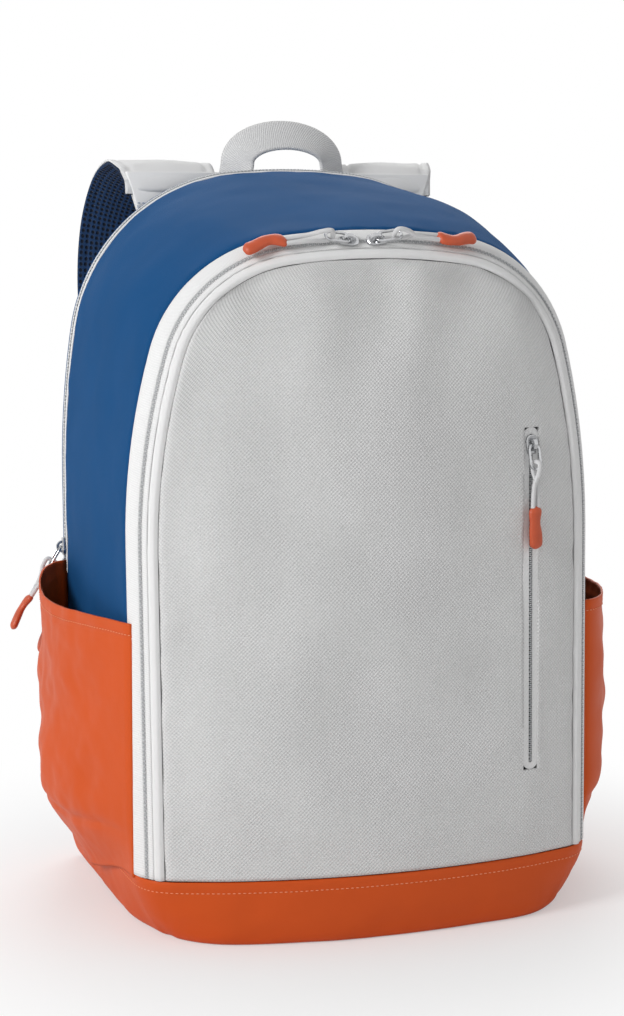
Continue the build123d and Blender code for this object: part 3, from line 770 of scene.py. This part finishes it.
def band_piece(name, band, columns, rows, material, body, thickness, stands_for=(), lift=0.0, crown=0.0,
               shape=None, rise=0.0):
    length = band.length()

    def place_at(i, j):
        u, v = i / (columns - 1), j / (rows - 1)
        centre, across, out, width = band.at(u)
        offset = crown * (1 - (2 * v - 1) ** 2)
        if shape:
            offset += shape(u * length, (v - 0.5) * width, width)
        if crown:
            offset *= smoothstep(0, 0.035, u) * smoothstep(1, 0.965, u)
        offset += rise
        return centre + across * (v - 0.5) * width + out * offset

    bm = cloth_grid(columns, rows, place_at, (length, band.widths[0].x))
    piece = finish_piece(name, bm, material, body, stands_for=stands_for)
    add_solidify(piece, thickness, lift)
    return piece


# ------------------------------------------------------------------- handle
grey_webbing = ribbed_tape("grey_webbing", linear(218, 218, 218), 0.0013, depth=0.00025, contrast=0.2)
handle_low, handle_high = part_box("grab_handle")
HANDLE_HALF = 0.0340
HANDLE_TILT = radians(-40)


def webbing_edge(s, t, width):
    """Selvedge: a thin raised edge, and a flat middle."""
    return 0.0002 * exp(-((abs(t) - width * 0.46) / 0.0008) ** 2)


def handle_sections():
    """Both feet stand flat in the seam, and the loop tips forward over its arch."""
    foot = handle_low.z - 0.0035
    rise = handle_high.z - 0.0183 - foot
    y = (handle_low.y + handle_high.y) / 2 - 0.0015
    flare = 0.0012
    sections = [((-HANDLE_HALF - flare, y, foot), (cos(HANDLE_TILT), sin(HANDLE_TILT), 0))]
    for i in range(15):
        angle = pi * i / 14
        inward = Vector((cos(angle), 0, -sin(angle)))
        spot = (-HANDLE_HALF * cos(angle), y, foot + 0.006 + (rise - 0.006) * sin(angle) ** 0.85)
        sections.append((spot, inward * cos(HANDLE_TILT) + BACKWARD * sin(HANDLE_TILT)))
    sections.append(((HANDLE_HALF + flare, y, foot), (-cos(HANDLE_TILT), sin(HANDLE_TILT), 0)))
    return sections


handle_band = Band(handle_sections(), 0.025)
handle_loop = band_piece("handle_webbing", handle_band, 97, 15, grey_webbing, None, 0.0022,
                         ("grab_handle",), shape=webbing_edge)
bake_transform(handle_loop)


# ------------------------------------------------------------ shoulder straps
strap_cloth = plain_weave("strap_cloth", WHITE, 0.0013, contrast=0.1, sheen=0.1)


def spacer_mesh(name, colour, pitch=0.0034, kind="UV"):
    """Knitted spacer mesh: rows of small holes, painted nearly black as the shade inside them."""
    mat, nodes, links, shader = new_material(name, colour, 0.8, sheen=0.1, gloss=0.15)
    vector, xyz = coordinates(nodes, links, kind)
    if kind == "Object":
        facing = nodes.new("ShaderNodeCombineXYZ")
        links.new(xyz[0], facing.inputs[0])
        links.new(xyz[2], facing.inputs[1])
        vector = facing.outputs[0]
    cells = nodes.new("ShaderNodeTexVoronoi")
    cells.voronoi_dimensions = "2D"
    cells.inputs["Scale"].default_value = 1 / pitch
    cells.inputs["Randomness"].default_value = 0.12
    links.new(vector, cells.inputs["Vector"])
    holes = nodes.new("ShaderNodeMapRange")
    holes.inputs["From Min"].default_value = 0.18
    holes.inputs["From Max"].default_value = 0.42
    links.new(cells.outputs["Distance"], holes.inputs["Value"])
    # painted shade: the holes are tinted to about a fifth of the colour, for the shade that falls inside them
    tint(nodes, links, shader, holes.outputs["Result"], shade(colour, 0.18), shade(colour, 1.15))
    relief(nodes, links, shader, holes.outputs["Result"], 0.0011)
    return mat


mesh_blue = spacer_mesh("mesh_blue", linear(22, 48, 82))


def strap_sections(hand):
    """Strap from its seam at the top of the back, over and down to the ladder lock."""
    rows = [(79, 126.5, 463.0, 0.064, 0.0), (79, 129.5, 474, 0.065, 0.0), (81, 140, 481.5, 0.067, 0.05),
            (86, 158, 480, 0.067, 0.14), (93, 176, 464, 0.067, 0.26), (99, 187, 434, 0.067, 0.32),
            (101, 190, 393, 0.066, 0.28), (99, 187, 345, 0.062, 0.18), (99, 177, 288, 0.056, 0.08),
            (103, 162, 230, 0.050, 0.02), (112.8, 144.6, 168, 0.043, 0.0)]
    return [((hand * x * MM, y * MM, z * MM), (hand * 1.0, twist, 0), w) for x, y, z, w, twist in rows]


STRAP_SKIN = 0.0012


def strap_pad(side, hand):
    band = Band(strap_sections(hand), 0.066)
    body = "strap_" + side
    flip = hand

    def quilt(s, t, width):
        edge = width / 2 - abs(t)
        seam = -0.0016 * exp(-((edge - 0.0065) / 0.0012) ** 2)
        wave = 0.0005 * ripple(Vector((s, t, hand)), 0.03, 3.0 + hand)
        return seam + wave

    outer = band_piece(f"strap_cover_{side}", band, 161, 33, strap_cloth, body, STRAP_SKIN,
                       (f"shoulder_strap_{side}",), crown=0.0035 * flip, rise=0.0011 * flip,
                       shape=lambda s, t, w: flip * quilt(s, t, w))
    band_piece(f"strap_mesh_{side}", band, 161, 33, mesh_blue, body, STRAP_SKIN,
               crown=-0.0038 * flip, rise=-0.0011 * flip,
               shape=lambda s, t, w: -flip * quilt(s, t, w) * 0.6)
    for edge_ in (-1, 1):
        line = []
        for i in range(161):
            centre, across, out, width = band.at(i / 160)
            off = 0.0011 + 0.0035 * (1 - (1 - 0.013 / width) ** 2)
            line.append((centre + across * edge_ * (width / 2 - 0.0065) + out * flip * off, out * flip))
        place = "inner" if edge_ * hand < 0 else "outer"
        stitch_row(f"strap_stitches_{side}_{place}", line, thread_white, body, lift=-0.0012)


for side, hand in (("left", -1), ("right", 1)):
    strap_pad(side, hand)


# ------------------------------------------------------------------ the back
back_skin = Skin("back_panel")
lining_cloth = plain_weave("lining_cloth", linear(70, 74, 80), 0.0012, kind="Object", axes=(0, 2),
                           contrast=0.15)
mesh_pad = spacer_mesh("mesh_pad", linear(32, 66, 108), kind="Object")
thread_blue = new_material("thread_blue", linear(70, 112, 160), 0.7)[0]


def back_cloth():
    """Cover of the back panel, laid between its piped edges."""
    edge_points = []
    for k in range(STATIONS):
        low = spans[k]["back_panel"][0]
        place = look(k, low)[0] - outward[k] * 0.0004
        edge_points.append(Vector((place.x, 0, place.z)))
    turn = min(range(STATIONS), key=lambda k: abs(degrees(atan2(outward[k].z, outward[k].x)) - 135))
    columns, rows = 101, 131
    left = polyline_at(resample(edge_points[:turn + 1], rows)[0])
    right = polyline_at(resample(edge_points[:STATIONS - turn - 2:-1], rows)[0])
    top = polyline_at(resample(edge_points[turn:STATIONS - turn], columns)[0])
    bottom = polyline_at(resample([left(0), right(0)], columns)[0])

    def place_at(i, j):
        u, v = i / (columns - 1), j / (rows - 1)
        spot = coons(bottom, top, left, right, u, v)
        got = back_skin.from_outside(Vector((spot.x, back_y - 0.02, spot.z)), BACKWARD)
        place, normal = got[0], got[1]
        reach = min(min(u, 1 - u) * 0.32, min(v, 1 - v) * 0.42)
        pucker = 0.0007 * exp(-reach / 0.012) * ripple(place, 0.012, 8.0, 1)
        slump = 0.0008 * ripple(place, 0.07, 16.0) * smoothstep(0, 0.02, reach)
        return place + normal * (pucker + slump - 0.0010 * (1 - smoothstep(0, 0.003, reach)) - 0.0006)

    bm = cloth_grid(columns, rows, place_at, (0.315, 0.43))
    face_out(bm, lambda faces: faces[len(faces) // 2].normal.y < 0)
    piece = finish_piece("back_cloth", bm, blue_cloth, "bag", stands_for=("back_panel",))
    add_solidify(piece, 0.0024)


def stuffed_pad(node, channels, cap=0.0035):
    """Foam pad under mesh: swollen by a short cloth simulation, then quilted."""
    low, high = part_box(node)
    middle = (low + high) / 2
    bm = bmesh.new()
    bm.from_mesh(frame["nodes"][node].data)
    bmesh.ops.remove_doubles(bm, verts=bm.verts, dist=1e-5)
    for v in bm.verts:
        v.co = Vector((middle.x + (v.co.x - middle.x) * 0.97, v.co.y, middle.z + (v.co.z - middle.z) * 0.97))
    mesh = bpy.data.meshes.new(node + "_form")
    bm.to_mesh(mesh)
    bm.free()
    form = add_object(node + "_form", mesh)
    even = form.modifiers.new("even", "REMESH")
    even.mode = "VOXEL"
    even.voxel_size = 0.004
    still = bpy.data.meshes.new_from_object(form.evaluated_get(bpy.context.evaluated_depsgraph_get()))
    places = [v.co.copy() for v in still.vertices]
    form.modifiers.remove(even)
    form.data = still
    cloth = form.modifiers.new("cloth", "CLOTH")
    cloth.settings.use_pressure = True
    cloth.settings.uniform_pressure_force = 4.0
    cloth.settings.effector_weights.gravity = 0.0
    for step in range(1, 21):
        bpy.context.scene.frame_set(step)
    swollen = bpy.data.meshes.new_from_object(form.evaluated_get(bpy.context.evaluated_depsgraph_get()))
    for k, v in enumerate(swollen.vertices):
        move = v.co - places[k]
        places[k] = places[k] + move * min(1.0, cap / max(move.length, 1e-9))
    bpy.context.scene.frame_set(1)
    bpy.data.objects.remove(form)
    bm = bmesh.new()
    bm.from_mesh(still)
    for v, place in zip(bm.verts, places):
        front = smoothstep(middle.y - 0.001, high.y, place.y)
        groove = 0.0
        for share in channels:
            z = low.z + (high.z - low.z) * share
            groove += 0.0034 * exp(-((place.z - z) / 0.0042) ** 2)
        rim_ = min(place.x - low.x, high.x - place.x, place.z - low.z, high.z - place.z)
        crown = 0.0018 * smoothstep(0.0, 0.03, rim_)
        y = place.y + front * (crown - groove * smoothstep(0.0, 0.012, rim_))
        v.co = Vector((place.x, max(y, low.y + 0.0002), place.z))
    bmesh.ops.recalc_face_normals(bm, faces=bm.faces)
    pad = finish_piece(node + "_cover", bm, mesh_pad, "bag", stands_for=(node,))
    add_subdivision(pad)
    return pad


def softened(name, node, material, body, edge=0.0005, back_by=0.0):
    """A flat cloth or webbing patch with its cut edges rounded."""
    bm = bmesh.new()
    bm.from_mesh(frame["nodes"][node].data)
    bmesh.ops.remove_doubles(bm, verts=bm.verts, dist=1e-5)
    bmesh.ops.dissolve_limit(bm, angle_limit=radians(1.5), verts=bm.verts, edges=bm.edges)
    sharp = [e for e in bm.edges if e.is_manifold and e.calc_face_angle() > radians(40)]
    bmesh.ops.bevel(bm, geom=sharp, offset=edge, affect="EDGES", segments=2, profile=0.5, material=-1,
                    clamp_overlap=True)
    bmesh.ops.translate(bm, verts=bm.verts, vec=BACKWARD * back_by)
    piece = finish_piece(name, bm, material, body, stands_for=(node,))
    piece.data.set_sharp_from_angle(angle=radians(38))
    return piece


def box_stitch(name, low, high, inset, y, material, body):
    """A rectangle of stitches on a face that looks backward."""
    corners = [Vector((low.x + inset, y, low.z + inset)), Vector((high.x - inset, y, low.z + inset)),
               Vector((high.x - inset, y, high.z - inset)), Vector((low.x + inset, y, high.z - inset))]
    line = []
    for a, b in zip(corners, corners[1:] + corners[:1]):
        count = max(2, int((b - a).length / 0.004))
        line += [(a.lerp(b, i / count), BACKWARD) for i in range(count)]
    stitch_row(name, line + line[:1], material, body)


back_cloth()
for node, channels in (("back_pad_left", (0.2, 0.4, 0.6, 0.8)), ("back_pad_right", (0.2, 0.4, 0.6, 0.8)),
                       ("lumbar_pad", (0.5,))):
    stuffed_pad(node, channels)
orange_patch = coated_cloth("orange_patch", ORANGE, kind="Object")
white_webbing = ribbed_tape("white_webbing", linear(214, 214, 215), 0.0013, kind="Object", depth=0.00025,
                            contrast=0.2)
strap_patch = plain_weave("strap_patch", WHITE, 0.0013, kind="Object", axes=(0, 2), contrast=0.1)
blue_patch = plain_weave("blue_patch", BLUE, 0.0017, kind="Object", axes=(0, 2), contrast=0.26,
                         sheen=0.06)
softened("pouch_lining", "pocket_pouch", lining_cloth, "front_flap", back_by=0.003)
divider = softened("divider_board", "compartment_divider", lining_cloth, "bag")
for v in divider.data.vertices:
    low_corner = smoothstep(0.060, 0.006, v.co.z)
    v.co = Vector((v.co.x * (0.975 - 0.055 * low_corner), v.co.y, max(v.co.z, 0.006)))
softened("yoke_patch", "strap_yoke", blue_patch, "bag")
yoke_low, yoke_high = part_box("strap_yoke")
box_stitch("yoke_stitches", yoke_low, yoke_high, 0.003, yoke_high.y, thread_blue, "bag")


# --------------------------------------------------------- zip coils and pulls
coil_plastic = new_material("coil_plastic", linear(188, 190, 192), 0.4)[0]


def nickel():
    mat, nodes, links, shader = new_material("nickel", linear(196, 197, 199), 0.24, metallic=1.0)
    vector = coordinates(nodes, links, "Object")[0]
    cloud = noise_value(nodes, links, vector, 260.0, 3.0)
    links.new(maths(nodes, links, "MULTIPLY_ADD", cloud, 0.22, 0.14), shader.inputs["Roughness"])
    tint(nodes, links, shader, cloud, linear(168, 169, 172), linear(214, 215, 216))
    return mat


def rubber():
    colour = linear(196, 82, 44)
    mat, nodes, links, shader = new_material("pull_rubber", colour, 0.42)
    vector = coordinates(nodes, links, "Object")[0]
    cloud = noise_value(nodes, links, vector, 190.0, 3.0)
    tint(nodes, links, shader, cloud, shade(colour, 0.8), shade(colour, 1.12))
    relief(nodes, links, shader, noise_value(nodes, links, vector, 1400.0, 2.0), 0.00012)
    return mat


def braid():
    colour = linear(224, 224, 225)
    mat, nodes, links, shader = new_material("braided_cord", colour, 0.75, sheen=0.2)
    xyz = coordinates(nodes, links, "Object")[1]
    total = maths(nodes, links, "ADD", xyz[0], maths(nodes, links, "MULTIPLY", xyz[2], 1.4))
    rib = maths(nodes, links, "SINE", maths(nodes, links, "MULTIPLY", total, tau / 0.0011))
    other = maths(nodes, links, "SINE", maths(nodes, links, "MULTIPLY",
                  maths(nodes, links, "SUBTRACT", xyz[0], xyz[2]), tau / 0.0013))
    height = maths(nodes, links, "MULTIPLY_ADD", maths(nodes, links, "MULTIPLY", rib, other), 0.4, 0.5)
    # painted shade: the cord is darker in the grooves of its plait, following the braid's height
    tint(nodes, links, shader, height, shade(colour, 0.82), shade(colour, 1.04))
    relief(nodes, links, shader, height, 0.0002)
    return mat


nickel_finish, grip_rubber, cord_braid = nickel(), rubber(), braid()


def coil_line(node):
    """Middle of a coil, station by station."""
    line = []
    for k in range(STATIONS):
        if node in spans[k]:
            low, high = spans[k][node]
            line.append(look(k, (low + high) / 2)[:2])
    return line


def teeth(name, node, line, body, pitch, half_span, height):
    """Coil of the zip, one rounded turn after another across the gap."""
    lengths = lengths_along([place for place, _ in line])
    bm = bmesh.new()
    wants = [(i + 0.5) * pitch for i in range(int(lengths[-1] / pitch))]
    for i, (k, share) in enumerate(walk(lengths, wants)):
        at = line[k][0].lerp(line[k + 1][0], share)
        up = line[k][1]
        run = (line[k + 1][0] - line[k][0]).normalized()
        across = up.cross(run).normalized()
        lean = 0.25 if i % 2 else -0.25
        sides = ((across + run * lean) * half_span, run * pitch * 0.36, up * height)
        turn = Matrix(sides).transposed().to_4x4()
        turn.translation = at
        bmesh.ops.create_icosphere(bm, subdivisions=1, radius=1.0, matrix=turn)
    return finish_piece(name, bm, coil_plastic, body, stands_for=(node,))


strip("front_coil_bed", "front_zip_coil", 3, -0.0004, white_tape, body="front_flap", sink=0.0004,
      thickness=0.0012)
teeth("front_teeth", "front_zip_coil", coil_line("front_zip_coil"), "front_flap", ZIP_PITCH, 0.0014, 0.0008)
teeth("main_teeth", "main_zip_coil", coil_line("main_zip_coil"), "bag", ZIP_PITCH, 0.0015, 0.0008)
pocket_coil = Skin("pocket_zip_coil")
coil_low, coil_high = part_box("pocket_zip_coil")
pocket_line = []
for i in range(41):
    spot = Vector(((coil_low.x + coil_high.x) / 2, front_y + 0.02, coil_low.z + 0.001
                   + (coil_high.z - coil_low.z - 0.002) * i / 40))
    pocket_line.append(pocket_coil.from_outside(spot, -BACKWARD)[:2])
teeth("pocket_teeth", "pocket_zip_coil", pocket_line, "front_flap", ZIP_PITCH, 0.0013, 0.0008)
for node, name in (("main_zip_tape_front", "main_tape_front"), ("main_zip_tape_back", "main_tape_back")):
    present = [k for k in range(STATIONS) if node in spans[k]]
    strip(name, node, 5, 0.0001, white_tape, first=present[0], last=present[-1], sink=0.0003,
          thickness=0.0012)

# pocket opening: two rows of stitches beside the tape
front_skin = Skin("front_panel")
for name, x in (("pocket_stitches_left", tape_low.x - 0.0022),
                ("pocket_stitches_right", tape_high.x + 0.0022)):
    line = []
    for i in range(61):
        spot = Vector((x, front_y + 0.02, tape_low.z - 0.002 + (tape_high.z - tape_low.z + 0.004) * i / 60))
        line.append(front_skin.from_outside(spot, -BACKWARD)[:2])
    stitch_row(name, line, thread_white, "front_flap", pitch=0.0026, length=0.002,
               radius=0.00026, lift=0.0009)

JOINTS = {j["name"]: j for j in frame["record"]["behaviour"]["joints"]}
for side in ("left", "right"):
    softened(f"riser_patch_{side}", f"strap_riser_{side}", strap_patch, "bag", 0.0009)
    softened(f"anchor_patch_{side}", f"strap_anchor_{side}", orange_patch, "bag")
    tail = softened(f"tail_webbing_{side}", f"adjuster_webbing_{side}", white_webbing, None,
                    0.0003)
    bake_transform(tail)


def mesh_centre(node):
    """Middle of a node's vertices, which is on its own axis for a symmetric piece."""
    corners = [v.co for v in frame["nodes"][node].data.vertices]
    return sum(corners, Vector()) / len(corners)


def tube_piece(name, points, radius, material, body, stands_for=()):
    """A cord of round section along a smooth line through its control points."""
    curve = bpy.data.curves.new(name, "CURVE")
    curve.dimensions = "3D"
    curve.bevel_depth = radius
    curve.bevel_resolution = 3
    curve.resolution_u = 8
    curve.use_fill_caps = True
    line = curve.splines.new("NURBS")
    line.points.add(len(points) - 1)
    for p, q in zip(line.points, points):
        p.co = (*q, 1)
    line.order_u = 3
    line.use_endpoint_u = True
    piece = add_object(name, curve)
    curve.materials.append(material)
    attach(piece, body)
    if stands_for:
        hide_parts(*stands_for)
    return piece


def zip_pull(name, curl):
    """Cord and rubber grip of one pull, hung in the CAD ring."""
    body = name + "_pull"
    joint = JOINTS[name + "_pull_swing"]
    hinge = Vector(joint["pos_m"])
    ring = mesh_centre(f"{name}_pull_ring")
    tip = (ring - hinge).normalized()
    ring_end = hinge + tip * 0.0154
    grip_middle = mesh_centre(f"{name}_pull_grip")
    side = Vector(joint["axis"]).normalized()
    run = (grip_middle - ring_end).normalized()
    side = (side - run * side.dot(run)).normalized()
    lift = side.cross(run).normalized()
    grip_start = grip_middle - run * 0.0135
    reach = (grip_start - ring_end).length

    def spot(along, across, up):
        return ring_end + run * along + side * across + lift * up

    sag = 0.0012
    bight = 0.0044
    points = [spot(reach + 0.004, 0.0017, 0), spot(reach * 0.66, 0.0019, 0.0002),
              spot(reach * 0.33, 0.0016, sag), spot(0.0035, 0.0004, 0.0036), spot(-0.0040, 0, bight),
              spot(-0.0046, 0, 0), spot(-0.0040, 0, -bight), spot(0.0035, -0.0004, -0.0036),
              spot(reach * 0.33, -0.0016, -sag), spot(reach * 0.66, -0.0019, 0),
              spot(reach + 0.004, -0.0017, 0)]
    tube_piece(f"{name}_cord", points, 0.00145, cord_braid, body, (f"{name}_pull_loop",))

    # grip: a rounded bar that swells at both ends and bends in an S
    bm = bmesh.new()
    bmesh.ops.create_cone(bm, cap_ends=True, cap_tris=False, segments=20, radius1=1.0, radius2=1.0, depth=1.0)
    bmesh.ops.subdivide_edges(bm, edges=[e for e in bm.edges if abs((e.verts[0].co - e.verts[1].co).z) > 0.5],
                              cuts=23, use_grid_fill=True)
    length = 0.0275
    for v in bm.verts:
        share = v.co.z + 0.5
        end = min(share, 1 - share)
        round_end = sqrt(min(1.0, end / 0.14 * (2 - min(2.0, end / 0.14)))) if end < 0.14 else 1.0
        body_width = (0.0047 - 0.0009 * exp(-((share - 0.38) / 0.16) ** 2)) * max(0.12, round_end)
        body_thick = (0.0027 - 0.0004 * exp(-((share - 0.38) / 0.16) ** 2)) * max(0.12, round_end)
        bend = curl * 0.0021 * sin(tau * (share - 0.08) * 0.92)
        bow = 0.0010 * sin(pi * share)
        v.co = (grip_start + run * (share * length - 0.0002) + side * (v.co.x * body_width + bend)
                + lift * (v.co.y * body_thick + bow))
    bmesh.ops.recalc_face_normals(bm, faces=bm.faces)
    grip = finish_piece(f"{name}_grip", bm, grip_rubber, body,
                        stands_for=(f"{name}_pull_grip",))
    add_subdivision(grip)


for name, curl in (("front_left", 1), ("front_right", 1), ("pocket", 0.35), ("main_upper", 0.9),
                   ("main_lower", -0.9)):
    zip_pull(name, curl)


# ------------------------------------------------------------ stage and camera
CAMERA_TURN, CAMERA_REACH, CAMERA_HEIGHT = -16.5, 1.3443, 0.4312
CAMERA_LENS, CAMERA_SHIFT = 72.637795, (-0.019192913, 0.031496063)


def studio():
    camera = bpy.data.cameras.new("camera")
    view = add_object("camera", camera)
    turn = radians(CAMERA_TURN)
    stand = Vector((sin(turn) * CAMERA_REACH, -cos(turn) * CAMERA_REACH, CAMERA_HEIGHT))
    aim = Vector((0, 0, 0.235))
    view.location = stand
    view.rotation_euler = (aim - stand).to_track_quat("-Z", "Y").to_euler()
    camera.sensor_fit = "AUTO"
    camera.sensor_width = 36.0
    camera.lens = CAMERA_LENS
    camera.shift_x, camera.shift_y = CAMERA_SHIFT
    camera.clip_start = 0.01
    bpy.context.scene.camera = view

    floor = bmesh.new()
    bmesh.ops.create_grid(floor, x_segments=2, y_segments=2, size=12.0)
    mesh = bpy.data.meshes.new("floor")
    floor.to_mesh(mesh)
    floor.free()
    ground = add_object("floor", mesh)
    mat, nodes, links, shader = new_material("floor_paper", (0.92, 0.92, 0.92), 0.9)
    vector = coordinates(nodes, links, "Object")[0]
    far = nodes.new("ShaderNodeVectorMath")
    far.operation = "LENGTH"
    links.new(vector, far.inputs[0])
    fade = nodes.new("ShaderNodeMapRange")
    fade.interpolation_type = "SMOOTHSTEP"
    fade.inputs["From Min"].default_value = 0.12
    fade.inputs["From Max"].default_value = 0.42
    fade.inputs["To Min"].default_value = 0.35
    links.new(far.outputs["Value"], fade.inputs["Value"])
    path = nodes.new("ShaderNodeLightPath")
    shown = maths(nodes, links, "MULTIPLY", path.outputs["Is Camera Ray"], fade.outputs["Result"])
    paper = nodes.new("ShaderNodeEmission")
    mix = nodes.new("ShaderNodeMixShader")
    links.new(shown, mix.inputs[0])
    links.new(shader.outputs[0], mix.inputs[1])
    links.new(paper.outputs[0], mix.inputs[2])
    links.new(mix.outputs[0], nodes["Material Output"].inputs["Surface"])
    mesh.materials.append(mat)

    world = bpy.data.worlds.new("world")
    bpy.context.scene.world = world
    world.use_nodes = True
    nodes, links = world.node_tree.nodes, world.node_tree.links
    back = nodes["Background"]
    path = nodes.new("ShaderNodeLightPath")
    seen = maths(nodes, links, "MAXIMUM", path.outputs["Is Camera Ray"], path.outputs["Is Glossy Ray"])
    level = nodes.new("ShaderNodeMapRange")
    level.inputs["To Min"].default_value = 0.42
    level.inputs["To Max"].default_value = 1.0
    links.new(seen, level.inputs["Value"])
    links.new(level.outputs["Result"], back.inputs["Strength"])
    back.inputs["Color"].default_value = (1, 1, 1, 1)

    lamps = (("key", (-2.2, -0.9, 1.4), 0.8, 37.0), ("fill", (1.2, -2.3, 1.3), 1.6, 3.6),
             ("rim", (0.5, 1.7, 1.8), 1.4, 18.0))
    for name, place, width, power in lamps:
        lamp = bpy.data.lights.new(name, "AREA")
        lamp.size = width
        lamp.energy = power
        holder = add_object(name, lamp)
        holder.location = place
        holder.rotation_euler = (Vector((0, 0, 0.25)) - Vector(place)).to_track_quat("-Z", "Y").to_euler()


studio()
bpy.context.scene.view_settings.view_transform = "Standard"


def moulded(name, colour):
    """Glass-filled plastic with a faint spark grain."""
    mat, nodes, links, shader = new_material(name, colour, 0.42)
    vector = coordinates(nodes, links, "Object")[0]
    cloud = noise_value(nodes, links, vector, 120.0, 3.0)
    grain = noise_value(nodes, links, vector, 2400.0, 2.0)
    tint(nodes, links, shader, cloud, shade(colour, 0.86), shade(colour, 1.12))
    links.new(maths(nodes, links, "MULTIPLY_ADD", cloud, 0.14, 0.34), shader.inputs["Roughness"])
    relief(nodes, links, shader, grain, 0.00008)
    return mat


# finishes of the CAD nodes that stay in view
SLOT_FINISH = {
    "slider_metal": nickel_finish,
    "buckle_plastic": moulded("buckle_plastic", linear(52, 54, 58)),
    "zip_tape": ribbed_tape("zip_tape_cad", WHITE, 0.0011, kind="Object"),
    "lining": lining_cloth,
}
for entry in frame["record"]["subparts"]:
    node = frame["nodes"][entry["node"]]
    node.data.materials.clear()
    node.data.materials.append(SLOT_FINISH.get(entry["material_slot"], lining_cloth))
